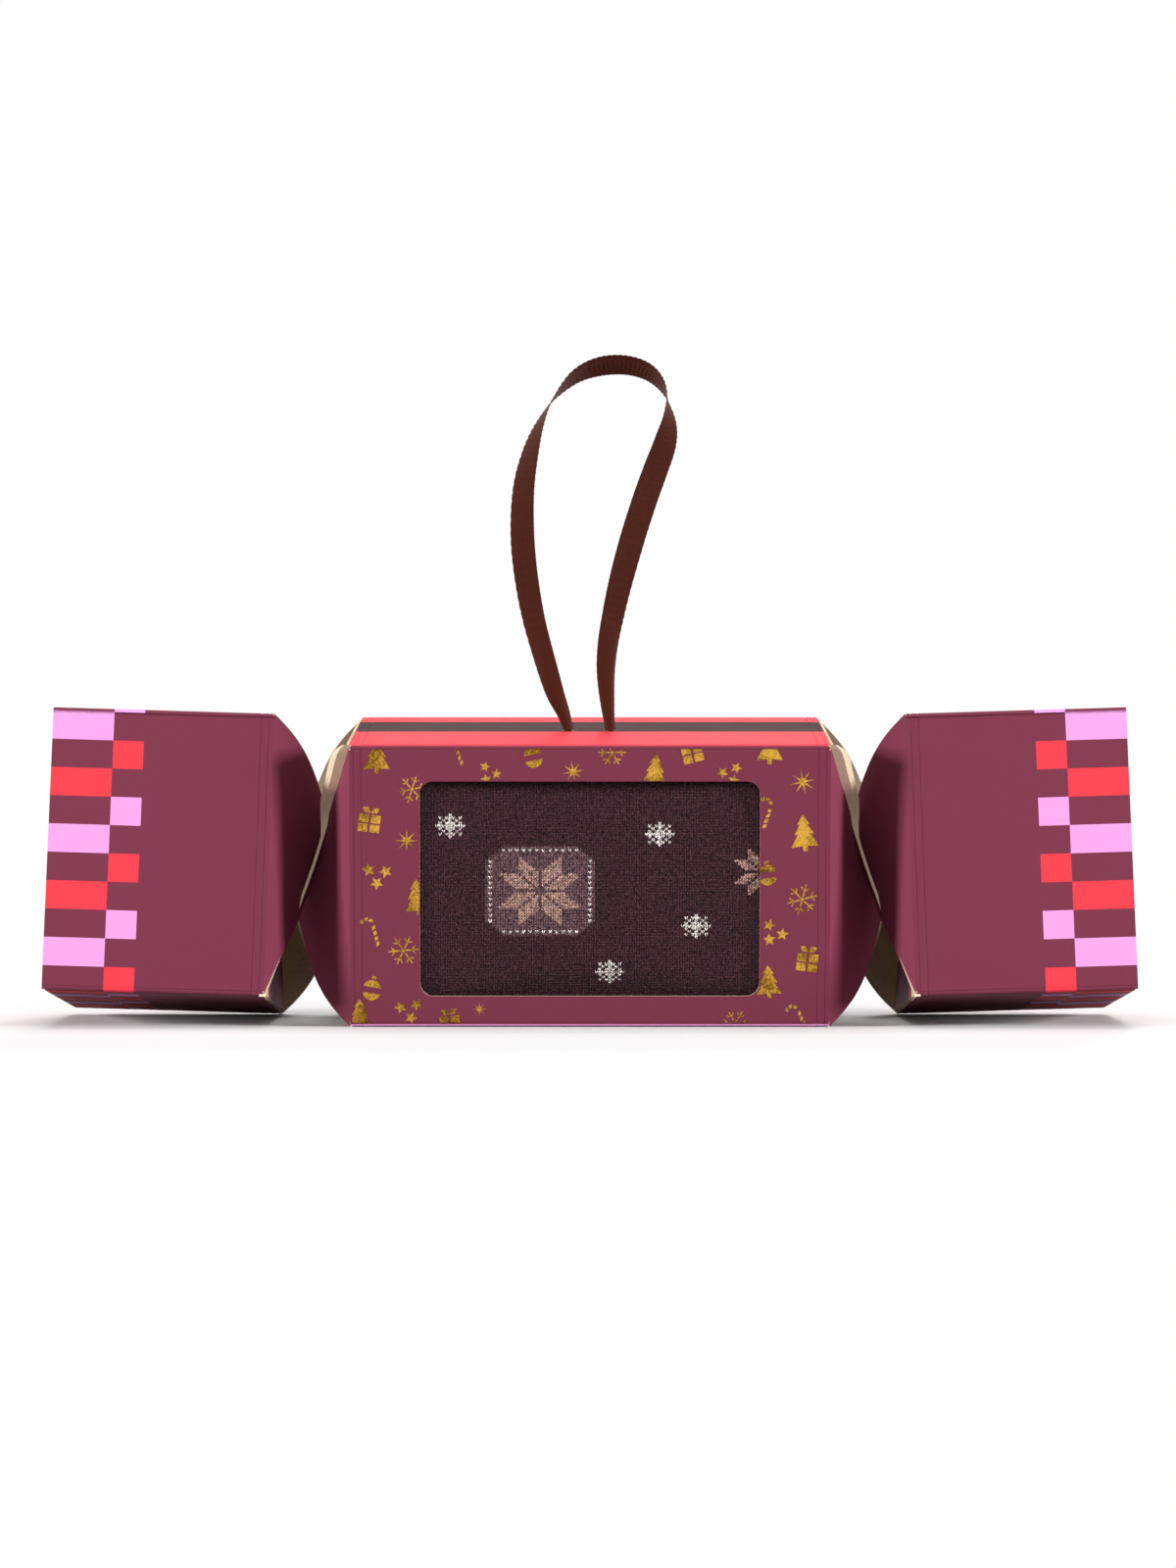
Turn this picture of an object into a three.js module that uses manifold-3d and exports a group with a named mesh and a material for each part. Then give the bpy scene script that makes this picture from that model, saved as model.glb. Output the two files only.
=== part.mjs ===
// A cracker-shaped gift carton: a square centre box with a window in its front, two pinched
// necks, two end boxes with tuck lids, a pair of folded socks inside and a ribbon loop on top.
// Millimetres, +Z up, +X along the cracker, the window faces -Y. The origin is on the floor
// under the middle of the carton.

import * as THREE from 'three';
import { mergeVertices } from 'three/addons/utils/BufferGeometryUtils.js';
import Module from 'manifold-3d';

const wasm = await Module();
wasm.setup();

// Driving dimensions of the carton
const SIDE = 77; // outside width of the square tube
const CENTRE_LENGTH = 130;
const NECK_LENGTH = 22; // from the centre box's crease to the end box's crease
const END_LENGTH = 60;
const BOARD = 0.6; // thickness of the paperboard
const GAP = 0.3; // clearance where two pieces touch
const TILT = 6.5; // degrees that the centre box leans forward and the end boxes lean back
const LIFT = 1.7; // degrees that each end box points up

// Window in the front panel
const WINDOW_WIDTH = 92;
const WINDOW_HEIGHT = 58.6;
const WINDOW_DROP = 0.7; // how far its middle is below the panel's middle
const WINDOW_CORNER = 3.6;

// Necks
const WAIST_HEIGHT = 28; // length of the fold where a neck strip turns
const WAIST_DEPTH = 24; // distance between the front and the back strip there
const NECK_SWELL_ALONG = 2.2; // how far a strip's curved edge swells towards the other box
const NECK_SWELL_OUT = 1.6; // away from the axis, to the front or the back
const NECK_SWELL_UP = 3; // above or below the straight line
const STRIP_STEPS = 8;
const STRIP_ROWS = 8;
const CLOSING_FLAP_DEPTH = 24;
const CLOSING_FLAP_WIDTH = 66;
const CLOSING_FLAP_LEAN = 3; // degrees off the box's end

// End closures
const TAB_DEPTH = 15;
const TAB_LEAN = 10; // degrees that the tab's edge rises off the bottom panel
const TAB_SIDE_CLEARANCE = 1.2;
const TAB_CORNER = 6;
const DUST_FLAP_WIDTH = 30;
const DUST_FLAP_TAPER = 5; // how much narrower its free edge is at each end
const DUST_FLAP_BOTTOM = 5; // clearance over the tab
const DUST_FLAP_TOP = 1.5;
const HINGE_GAP = 0.5;
const GLUE_TAB_WIDTH = 14;
const GLUE_TAB_END_CLEARANCE = 1;

// Socks, folded to the size that the centre box leaves them
const SOCK_BEHIND_WINDOW = 2.6;
const SOCK_BACK_CLEARANCE = 6.9;
const SOCK_HEADROOM = 4.9;
const SOCK_END_CLEARANCE = 4; // clears the leaning closing flaps
const SOCK_ROUNDING = 6;
const SOCK_CORNER = 9;

// Ribbon
const RIBBON_WIDTH = 7;
const RIBBON_THICKNESS = 0.5;
const RIBBON_HOLE_SPACING = 11.5;
const RIBBON_HOLE_RADIUS = 2.2;
const RIBBON_BUNCH_WIDTH = 3.2; // gathered where it goes through a hole
const RIBBON_BUNCH_THICKNESS = 1;
const RIBBON_STEPS = 56;
const RIBBON_GATHER = 0.14; // share of the loop over which it spreads to its full width
const LOOP_START = 0.6; // the loop starts this far over the top panel
const KNOT_LENGTH = 9;
const KNOT_THICKNESS = 2.8;
const KNOT_DEPTH = 5;
const KNOT_BAR_THICKNESS = 1.2; // the tails that run under the panel to the knot

const half = SIDE / 2;
const rad = THREE.MathUtils.degToRad;
const axisHeight = half * (Math.sin(rad(TILT)) + Math.cos(rad(TILT)));

const paint = (colour, roughness) =>
  new THREE.MeshStandardMaterial({ color: colour, roughness, metalness: 0 });
const plumBoard = paint(0x7c3a50, 0.45);
const redBoard = paint(0xe8433f, 0.4);
const pinkBoard = paint(0xf08be0, 0.45);
const rawBoard = paint(0xd9c9b0, 0.85);
const knit = paint(0x33222c, 0.95);
const satin = paint(0x4a2620, 0.4);

const cracker = new THREE.Group();
const centre = new THREE.Group();
centre.position.z = axisHeight;
centre.rotation.x = rad(TILT);
cracker.add(centre);

function addMesh(parent, name, geometry, material) {
  const mesh = new THREE.Mesh(geometry, material);
  mesh.name = name;
  parent.add(mesh);
  return mesh;
}

function addPlate(parent, name, size, place, material) {
  const mesh = addMesh(parent, name, new THREE.BoxGeometry(...size), material);
  mesh.position.set(...place);
  return mesh;
}

function roundedRectangle(width, height, radius) {
  const shape = new THREE.Shape();
  const [x, y] = [width / 2, height / 2];
  shape.moveTo(-x + radius, -y);
  shape.lineTo(x - radius, -y);
  shape.absarc(x - radius, -y + radius, radius, -Math.PI / 2, 0);
  shape.lineTo(x, y - radius);
  shape.absarc(x - radius, y - radius, radius, 0, Math.PI / 2);
  shape.lineTo(-x + radius, y);
  shape.absarc(-x + radius, y - radius, radius, Math.PI / 2, Math.PI);
  shape.lineTo(-x, -y + radius);
  shape.absarc(-x + radius, -y + radius, radius, Math.PI, 1.5 * Math.PI);
  return shape;
}

function cutBoard(shape, curveSegments = 6) {
  return new THREE.ExtrudeGeometry(shape, { depth: BOARD, bevelEnabled: false, curveSegments });
}

// A closed mesh from a grid of outer points and the matching grid of inner points
function shellGeometry(outer, inner, flip) {
  const rows = outer.length;
  const columns = outer[0].length;
  const points = [...outer.flat(), ...inner.flat()];
  const at = (layer, i, j) => layer * rows * columns + i * columns + j;
  const index = [];
  const quad = (a, b, c, d) => {
    if (flip) index.push(a, c, b, a, d, c);
    else index.push(a, b, c, a, c, d);
  };
  for (let i = 0; i < rows - 1; i++) {
    for (let j = 0; j < columns - 1; j++) {
      quad(at(0, i, j), at(0, i + 1, j), at(0, i + 1, j + 1), at(0, i, j + 1));
      quad(at(1, i, j), at(1, i, j + 1), at(1, i + 1, j + 1), at(1, i + 1, j));
    }
  }
  for (let i = 0; i < rows - 1; i++) {
    quad(at(0, i, 0), at(1, i, 0), at(1, i + 1, 0), at(0, i + 1, 0));
    quad(at(0, i, columns - 1), at(0, i + 1, columns - 1), at(1, i + 1, columns - 1), at(1, i, columns - 1));
  }
  for (let j = 0; j < columns - 1; j++) {
    quad(at(0, 0, j), at(0, 0, j + 1), at(1, 0, j + 1), at(1, 0, j));
    quad(at(0, rows - 1, j), at(1, rows - 1, j), at(1, rows - 1, j + 1), at(0, rows - 1, j + 1));
  }
  const geometry = new THREE.BufferGeometry();
  geometry.setAttribute('position', new THREE.Float32BufferAttribute(points.flatMap((p) => p.toArray()), 3));
  geometry.setIndex(index);
  return geometry;
}

// Centre box: four panels and the glued seam, in the frame of the leaning centre group
function buildCentreBox() {
  const innerWidth = SIDE - 2 * (BOARD + GAP);
  const front = new THREE.Shape();
  front.moveTo(-CENTRE_LENGTH / 2, -half);
  front.lineTo(CENTRE_LENGTH / 2, -half);
  front.lineTo(CENTRE_LENGTH / 2, half);
  front.lineTo(-CENTRE_LENGTH / 2, half);
  const opening = roundedRectangle(WINDOW_WIDTH, WINDOW_HEIGHT, WINDOW_CORNER);
  front.holes.push(new THREE.Path(opening.getPoints(6).map((p) => p.setY(p.y - WINDOW_DROP))));
  const frontPanel = addMesh(centre, 'centre_front_panel', cutBoard(front), plumBoard);
  frontPanel.rotation.x = Math.PI / 2;
  frontPanel.position.y = -half + BOARD;

  addPlate(centre, 'centre_back_panel', [CENTRE_LENGTH, BOARD, SIDE], [0, half - BOARD / 2, 0], plumBoard);

  const top = new THREE.Shape();
  top.moveTo(-CENTRE_LENGTH / 2, -innerWidth / 2);
  top.lineTo(CENTRE_LENGTH / 2, -innerWidth / 2);
  top.lineTo(CENTRE_LENGTH / 2, innerWidth / 2);
  top.lineTo(-CENTRE_LENGTH / 2, innerWidth / 2);
  for (const side of [-1, 1]) {
    const hole = new THREE.Path();
    hole.absarc((side * RIBBON_HOLE_SPACING) / 2, 0, RIBBON_HOLE_RADIUS, 0, 2 * Math.PI);
    top.holes.push(hole);
  }
  const topPanel = addMesh(centre, 'centre_top_panel', cutBoard(top), redBoard);
  topPanel.position.z = half - BOARD;

  const bottomWidth = innerWidth - BOARD - GAP; // leaves room for the glued seam
  addPlate(
    centre,
    'centre_bottom_panel',
    [CENTRE_LENGTH, bottomWidth, BOARD],
    [0, -(BOARD + GAP) / 2, -half + BOARD / 2],
    pinkBoard,
  );
  addPlate(
    centre,
    'centre_glue_tab',
    [CENTRE_LENGTH - 2 * GLUE_TAB_END_CLEARANCE, BOARD, GLUE_TAB_WIDTH],
    [0, half - 1.5 * BOARD - GAP, -half + GLUE_TAB_WIDTH / 2],
    rawBoard,
  );
}

// Half-round flaps that close the inside of a neck above and below
function addClosingFlaps(parent, prefix, x, side) {
  for (const [word, up] of [['top', 1], ['bottom', -1]]) {
    const shape = new THREE.Shape();
    shape.moveTo(-CLOSING_FLAP_WIDTH / 2, 0);
    shape.lineTo(CLOSING_FLAP_WIDTH / 2, 0);
    shape.absellipse(0, 0, CLOSING_FLAP_WIDTH / 2, CLOSING_FLAP_DEPTH, 0, Math.PI);
    const geometry = cutBoard(shape, 12);
    geometry.translate(0, 0, -BOARD / 2);
    const flap = addMesh(parent, `${prefix}_${word}_closing_flap`, geometry, plumBoard);
    const basis = new THREE.Matrix4().makeBasis(
      new THREE.Vector3(0, up, 0),
      new THREE.Vector3(0, 0, -up),
      new THREE.Vector3(-1, 0, 0),
    );
    flap.setRotationFromMatrix(basis);
    flap.rotateX(side * rad(CLOSING_FLAP_LEAN));
    flap.position.set(x + side * (GAP + BOARD / 2), 0, up * (half - BOARD / 2));
  }
}

// One end box in its own leaning group, whose origin is the middle of its inner end
function buildEndBox(word, side) {
  const end = new THREE.Group();
  end.position.set(side * (CENTRE_LENGTH / 2 + NECK_LENGTH), 0, axisHeight);
  end.rotation.set(-rad(TILT), -side * rad(LIFT), 0, 'YXZ');
  cracker.add(end);

  const length = END_LENGTH - BOARD - GAP; // the lid covers the panels' outer ends
  const middle = (side * length) / 2;
  const innerWidth = SIDE - 2 * (BOARD + GAP);
  addPlate(end, `${word}_front_panel`, [length, BOARD, SIDE], [middle, -half + BOARD / 2, 0], plumBoard);
  addPlate(end, `${word}_back_panel`, [length, BOARD, SIDE], [middle, half - BOARD / 2, 0], plumBoard);
  addPlate(end, `${word}_top_panel`, [length, innerWidth, BOARD], [middle, 0, half - BOARD / 2], plumBoard);
  const bottomWidth = innerWidth - BOARD - GAP;
  addPlate(
    end,
    `${word}_bottom_panel`,
    [length, bottomWidth, BOARD],
    [middle, -(BOARD + GAP) / 2, -half + BOARD / 2],
    plumBoard,
  );
  const seamLength = length - 2 * (BOARD + GAP) - GLUE_TAB_END_CLEARANCE;
  addPlate(
    end,
    `${word}_glue_tab`,
    [seamLength, BOARD, GLUE_TAB_WIDTH],
    [(side * seamLength) / 2, half - 1.5 * BOARD - GAP, -half + GLUE_TAB_WIDTH / 2],
    rawBoard,
  );

  addPlate(end, `${word}_lid`, [BOARD, SIDE, SIDE], [side * (END_LENGTH - BOARD / 2), 0, 0], plumBoard);

  const tabWidth = innerWidth - 2 * (BOARD + TAB_SIDE_CLEARANCE);
  const tab = new THREE.Shape();
  tab.moveTo(-tabWidth / 2, 0);
  tab.lineTo(tabWidth / 2, 0);
  tab.lineTo(tabWidth / 2, TAB_DEPTH - TAB_CORNER);
  tab.absarc(tabWidth / 2 - TAB_CORNER, TAB_DEPTH - TAB_CORNER, TAB_CORNER, 0, Math.PI / 2);
  tab.lineTo(-tabWidth / 2 + TAB_CORNER, TAB_DEPTH);
  tab.absarc(-tabWidth / 2 + TAB_CORNER, TAB_DEPTH - TAB_CORNER, TAB_CORNER, Math.PI / 2, Math.PI);
  const tuckTab = addMesh(end, `${word}_tuck_tab`, cutBoard(tab), plumBoard);
  const tabBasis = new THREE.Matrix4().makeBasis(
    new THREE.Vector3(0, side, 0),
    new THREE.Vector3(-side, 0, 0),
    new THREE.Vector3(0, 0, 1),
  );
  tuckTab.setRotationFromMatrix(tabBasis);
  tuckTab.rotateX(rad(TAB_LEAN));
  tuckTab.position.set(side * (END_LENGTH - BOARD - GAP), 0, -half + BOARD + GAP);

  const dustTop = half - BOARD - DUST_FLAP_TOP;
  const dustBottom = -half + BOARD + DUST_FLAP_BOTTOM;
  const dust = new THREE.Shape();
  dust.moveTo(0, dustBottom);
  dust.lineTo(DUST_FLAP_WIDTH, dustBottom + DUST_FLAP_TAPER);
  dust.lineTo(DUST_FLAP_WIDTH, dustTop - DUST_FLAP_TAPER);
  dust.lineTo(0, dustTop);
  for (const [place, back] of [['front', -1], ['back', 1]]) {
    const geometry = cutBoard(dust);
    geometry.translate(0, 0, -BOARD / 2);
    const flap = addMesh(end, `${word}_${place}_dust_flap`, geometry, plumBoard);
    const flapBasis = new THREE.Matrix4().makeBasis(
      new THREE.Vector3(0, -back, 0),
      new THREE.Vector3(0, 0, 1),
      new THREE.Vector3(-back, 0, 0),
    );
    flap.setRotationFromMatrix(flapBasis);
    const seam = back > 0 ? BOARD + GAP : 0; // the back flap clears the glued seam
    flap.position.set(side * (length - BOARD / 2), back * (half - BOARD - HINGE_GAP - seam), 0);
  }
  addClosingFlaps(end, word, 0, -side);
  return end;
}

// A neck strip runs from the centre box's crease, through a slanting fold at the waist, to the
// end box's crease. One edge of each half is a straight cut and the other a swelling curve.
function buildNeckStrip(name, side, back, end) {
  const crease = (group, x, inset, v) =>
    new THREE.Vector3(x, back * (half - inset), -back * half * (2 * v - 1)).applyMatrix4(group.matrixWorld);
  const slant = (NECK_LENGTH * WAIST_HEIGHT) / SIDE; // the fold lies along the neck's diagonal
  const fold = (v) =>
    new THREE.Vector3(
      side * (CENTRE_LENGTH / 2 + NECK_LENGTH / 2 - slant * (v - 0.5)),
      (back * WAIST_DEPTH) / 2,
      axisHeight - back * WAIST_HEIGHT * (v - 0.5),
    );
  const halves = [
    { group: centre, x: side * (CENTRE_LENGTH / 2 + GAP), sign: -1 },
    { group: end, x: -side * GAP, sign: 1 },
  ];
  const [nearRows, farRows] = halves.map(({ group, x, sign }) => {
    const rows = [];
    for (let i = 0; i <= STRIP_STEPS; i++) {
      const u = i / STRIP_STEPS;
      rows.push([]);
      for (let j = 0; j <= STRIP_ROWS; j++) {
        const v = j / STRIP_ROWS;
        const share = sign > 0 ? v : 1 - v;
        const swell = Math.sin(Math.PI * u) * share ** 2;
        const point = crease(group, x, 0, v).lerp(fold(v), u);
        point.x -= side * sign * swell * NECK_SWELL_ALONG;
        point.y += back * swell * NECK_SWELL_OUT;
        point.z -= back * sign * swell * NECK_SWELL_UP;
        rows[i].push(point);
      }
    }
    return rows;
  });
  const outer = [...nearRows, ...farRows.reverse().slice(1)];
  const last = outer.length - 1;
  const inner = outer.map((row, i) =>
    row.map((point, j) => {
      if (i === 0) return crease(halves[0].group, halves[0].x, BOARD, j / STRIP_ROWS);
      if (i === last) return crease(halves[1].group, halves[1].x, BOARD, j / STRIP_ROWS);
      const along = outer[i + 1][j].clone().sub(outer[i - 1][j]);
      const across = row[Math.min(j + 1, STRIP_ROWS)].clone().sub(row[Math.max(j - 1, 0)]);
      const outward = along.cross(across).normalize();
      return point.clone().addScaledVector(outward, -side * BOARD);
    }),
  );
  addMesh(cracker, name, shellGeometry(outer, inner, side < 0), plumBoard);
}

// A folded sock, as the plain padded block that its knitted surface covers
function buildSocks() {
  const sockLength = CENTRE_LENGTH - 2 * SOCK_END_CLEARANCE;
  const sockHeight = SIDE - 2 * BOARD - GAP - SOCK_HEADROOM;
  const sockThickness = (SIDE - 2 * BOARD - GAP - SOCK_BEHIND_WINDOW - SOCK_BACK_CLEARANCE) / 2;
  const floorHeight = -half + BOARD + GAP;
  for (const [name, front] of [['front_sock', 1], ['back_sock', 0]]) {
    const shape = roundedRectangle(
      sockLength - 2 * SOCK_ROUNDING,
      sockHeight - 2 * SOCK_ROUNDING,
      SOCK_CORNER,
    );
    const geometry = new THREE.ExtrudeGeometry(shape, {
      depth: sockThickness - 2 * SOCK_ROUNDING,
      bevelThickness: SOCK_ROUNDING,
      bevelSize: SOCK_ROUNDING,
      bevelSegments: 4,
      curveSegments: 4,
    });
    const sock = addMesh(centre, name, geometry, knit);
    sock.rotation.x = Math.PI / 2;
    const frontFace = -half + BOARD + SOCK_BEHIND_WINDOW + (front ? 0 : sockThickness + GAP);
    sock.position.set(0, frontFace + sockThickness - SOCK_ROUNDING, floorHeight + sockHeight / 2);
  }
}

function toSolid(geometry) {
  geometry.deleteAttribute('normal');
  geometry.deleteAttribute('uv');
  const merged = mergeVertices(geometry);
  return new wasm.Manifold(
    new wasm.Mesh({
      numProp: 3,
      vertProperties: new Float32Array(merged.attributes.position.array),
      triVerts: new Uint32Array(merged.index.array),
    }),
  );
}

// The ribbon's tails go down through the two holes and meet in a flat knot under the top panel
function buildRibbonKnot() {
  const under = half - BOARD - GAP;
  const barLength = RIBBON_HOLE_SPACING + RIBBON_BUNCH_WIDTH;
  const bar = new THREE.BoxGeometry(barLength, RIBBON_BUNCH_WIDTH, KNOT_BAR_THICKNESS);
  bar.translate(0, 0, under - KNOT_BAR_THICKNESS / 2);
  const knot = new THREE.SphereGeometry(0.5, 16, 10);
  knot.rotateX(Math.PI / 2);
  knot.scale(KNOT_LENGTH, KNOT_DEPTH, KNOT_THICKNESS);
  knot.translate(0, 0, under - KNOT_THICKNESS / 2);
  let solid = toSolid(bar).add(toSolid(knot));
  const stemTop = half + LOOP_START - GAP;
  const stemBottom = under - KNOT_BAR_THICKNESS / 2;
  for (const side of [-1, 1]) {
    const stem = new THREE.BoxGeometry(RIBBON_BUNCH_WIDTH, RIBBON_BUNCH_THICKNESS, stemTop - stemBottom);
    stem.translate((side * RIBBON_HOLE_SPACING) / 2, 0, (stemTop + stemBottom) / 2);
    solid = solid.add(toSolid(stem));
  }
  const mesh = solid.getMesh();
  const geometry = new THREE.BufferGeometry();
  geometry.setAttribute('position', new THREE.Float32BufferAttribute(mesh.vertProperties, 3));
  geometry.setIndex(Array.from(mesh.triVerts));
  addMesh(centre, 'ribbon_knot', geometry, satin);
}

// The loop's route over the exits, as [x, height over the top panel, degrees turned edge-on]
const LOOP_ROUTE = [
  [-RIBBON_HOLE_SPACING / 2, 0, 20],
  [-7.5, 5, 24],
  [-10.4, 11.7, 28],
  [-14.4, 25.8, 30],
  [-17.2, 39.4, 22],
  [-18.7, 53, 18],
  [-18.5, 66.6, 30],
  [-16.6, 77.2, 48],
  [-13.8, 85.7, 70],
  [-9.9, 92.5, 92],
  [-3.8, 98.6, 118],
  [3.2, 101.4, 134],
  [10.7, 101.6, 134],
  [16.9, 99.3, 124],
  [20.8, 94.4, 100],
  [22.1, 87.1, 60],
  [21, 80.1, 26],
  [18.1, 72, 8],
  [15.1, 63.6, 4],
  [11.6, 52.5, 8],
  [8.1, 39.4, 22],
  [5.8, 27.9, 32],
  [4.8, 17, 34],
  [5.1, 6.6, 26],
  [RIBBON_HOLE_SPACING / 2, 0, 20],
];

function buildRibbonLoop() {
  const exit = new THREE.Vector3(0, 0, half).applyMatrix4(centre.matrixWorld);
  const route = new THREE.CatmullRomCurve3(LOOP_ROUTE.map(([x, z]) => new THREE.Vector3(x, 0, z)));
  const turn = new THREE.CatmullRomCurve3(LOOP_ROUTE.map(([, , a]) => new THREE.Vector3(rad(a), 0, 0)));
  const across = new THREE.Vector3(0, 1, 0);
  const rings = [];
  for (let i = 0; i <= RIBBON_STEPS; i++) {
    const t = i / RIBBON_STEPS;
    const point = route.getPoint(t);
    const tangent = route.getTangent(t);
    const flat = new THREE.Vector3().crossVectors(tangent, across);
    const angle = turn.getPoint(t).x;
    const gathered = THREE.MathUtils.smoothstep(Math.min(t, 1 - t), 0, RIBBON_GATHER);
    const bunch = 1 - gathered;
    const facing = angle * gathered;
    const wide = flat.clone().multiplyScalar(Math.cos(facing)).addScaledVector(across, Math.sin(facing));
    const thick = new THREE.Vector3().crossVectors(tangent, wide);
    const width = RIBBON_WIDTH * gathered + RIBBON_BUNCH_WIDTH * bunch;
    const depth = RIBBON_THICKNESS * gathered + RIBBON_BUNCH_THICKNESS * bunch;
    if (i === 0 || i === RIBBON_STEPS) point.z += LOOP_START;
    rings.push(
      [[-1, -1], [1, -1], [1, 1], [-1, 1]].map(([a, b]) => {
        const p = point.clone().addScaledVector(wide, (a * width) / 2);
        p.addScaledVector(thick, (b * depth) / 2);
        if (i === 0 || i === RIBBON_STEPS) p.z = LOOP_START;
        return p.add(exit);
      }),
    );
  }
  const positions = rings.flat().flatMap((p) => p.toArray());
  const index = [];
  for (let i = 0; i < RIBBON_STEPS; i++) {
    for (let k = 0; k < 4; k++) {
      const [a, b] = [4 * i + k, 4 * i + ((k + 1) % 4)];
      index.push(a, b, b + 4, a, b + 4, a + 4);
    }
  }
  const last = 4 * RIBBON_STEPS;
  index.push(0, 2, 1, 0, 3, 2, last, last + 1, last + 2, last, last + 2, last + 3);
  const geometry = new THREE.BufferGeometry();
  geometry.setAttribute('position', new THREE.Float32BufferAttribute(positions, 3));
  geometry.setIndex(index);
  addMesh(cracker, 'ribbon_loop', geometry, satin);
}

buildCentreBox();
for (const [word, side] of [['left', -1], ['right', 1]]) {
  const end = buildEndBox(word, side);
  addClosingFlaps(centre, `centre_${word}`, (side * CENTRE_LENGTH) / 2, side);
  cracker.updateMatrixWorld(true);
  buildNeckStrip(`${word}_front_neck_strip`, side, -1, end);
  buildNeckStrip(`${word}_back_neck_strip`, side, 1, end);
}
buildSocks();
buildRibbonKnot();
buildRibbonLoop();

export default cracker;
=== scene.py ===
"""The looks of a cracker-shaped gift carton with socks in its window and a ribbon loop on top."""

import math

import bmesh
import bpy
import numpy as np
from bpy.props import FloatProperty, FloatVectorProperty, IntProperty, PointerProperty
from mathutils import Matrix, Vector


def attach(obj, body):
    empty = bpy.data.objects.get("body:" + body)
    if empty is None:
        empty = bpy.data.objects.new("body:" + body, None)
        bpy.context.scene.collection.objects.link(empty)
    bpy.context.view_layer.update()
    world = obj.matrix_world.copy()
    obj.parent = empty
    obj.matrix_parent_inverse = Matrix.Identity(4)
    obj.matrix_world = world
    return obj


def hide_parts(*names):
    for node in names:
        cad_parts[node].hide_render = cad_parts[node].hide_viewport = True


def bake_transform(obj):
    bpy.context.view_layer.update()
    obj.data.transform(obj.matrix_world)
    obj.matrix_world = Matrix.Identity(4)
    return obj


bl_info = {
    "name": "Christmas cracker carton",
    "version": (1, 0, 0),
    "blender": (4, 5, 0),
    "location": "3D View > Sidebar > Cracker",
    "description": "Builds a cracker-shaped gift carton with knitted socks and a ribbon loop",
    "category": "Object",
}

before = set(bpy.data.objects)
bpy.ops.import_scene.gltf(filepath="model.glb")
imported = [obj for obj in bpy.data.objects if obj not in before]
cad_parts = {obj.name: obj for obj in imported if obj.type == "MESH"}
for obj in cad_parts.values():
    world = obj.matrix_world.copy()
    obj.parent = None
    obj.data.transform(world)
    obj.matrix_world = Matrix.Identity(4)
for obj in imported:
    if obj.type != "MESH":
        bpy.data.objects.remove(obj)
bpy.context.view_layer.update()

MM = 0.001
# How far a cutter reaches on each side of what it cuts
CUT = 3 * MM
# Degrees from which an edge is drawn sharp, on folded board and on ribbon
BOARD_SHARP, RIBBON_SHARP = 24, 50
SIDES = (("left", -1), ("right", 1))
RAW, PLUM, PINK, RED, AUBERGINE = range(5)
DARK, BROWN, TAUPE, CREAM = range(4)


def linear(hex_colour):
    """Turns an sRGB hex colour into linear RGBA."""
    channels = [int(hex_colour[i:i + 2], 16) / 255 for i in (1, 3, 5)]
    return (*[c / 12.92 if c <= 0.04045 else ((c + 0.055) / 1.055) ** 2.4 for c in channels], 1.0)


def mm(name, description, millimetres):
    return FloatProperty(name=name, description=description, default=millimetres * MM, unit="LENGTH")


def deg(name, description, degrees):
    return FloatProperty(name=name, description=description, default=math.radians(degrees), unit="ROTATION")


def watts(name, description, power):
    return FloatProperty(name=name, description=description, default=power, unit="POWER")


def srgb(name, description, hex_colour):
    return FloatVectorProperty(
        name=name, description=description, default=linear(hex_colour), size=4, subtype="COLOR", min=0, max=1
    )


class CartonSizes(bpy.types.PropertyGroup):
    """Sizes of the folded carton, as in the frame's solids."""

    side: mm("Side", "Outside width of the square tube", 77)
    centre_length: mm("Centre length", "Length of the centre box", 130)
    neck_length: mm("Neck length", "Distance between two boxes' creases", 22)
    end_length: mm("End length", "Length of each end box", 60)
    board: mm("Board", "Thickness of the paperboard", 0.6)
    gap: mm("Gap", "Clearance where two pieces touch", 0.3)
    tilt: deg("Tilt", "How far the centre box leans forward and the end boxes back", 6.5)
    lift: deg("Lift", "How far each end box points up", 1.7)
    crease_radius: mm("Crease radius", "Outer radius of a folded crease", 0.95)
    score_depth: mm("Score depth", "Depth of the scored line beside a crease", 0.16)
    window_width: mm("Window width", "Width of the window", 92)
    window_height: mm("Window height", "Height of the window", 58.6)
    window_drop: mm("Window drop", "How far the window's middle is below the panel's", 0.7)
    window_corner: mm("Window corner", "Radius of the window's corners", 3.6)
    waist_height: mm("Waist height", "Length of the fold at the waist of a neck", 28)
    waist_depth: mm("Waist depth", "Distance between the two strips at the waist", 24)
    waist_spread: mm("Waist spread", "How far each end of the fold at the waist comes out", 7.5)
    flap_width: mm("Closing flap width", "Width of a half-round closing flap", 66)
    flap_depth: mm("Closing flap depth", "Depth of a half-round closing flap", 24)
    flap_lean: deg("Closing flap lean", "Lean of a closing flap into its box", 3)
    tab_depth: mm("Tuck tab depth", "Depth of a lid's tuck tab", 15)
    tab_lean: deg("Tuck tab lean", "How far the tuck tab rises off the bottom", 10)
    dust_width: mm("Dust flap width", "Width of a dust flap", 30)
    glue_width: mm("Glue tab width", "Width of the glued seam", 14)


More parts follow.
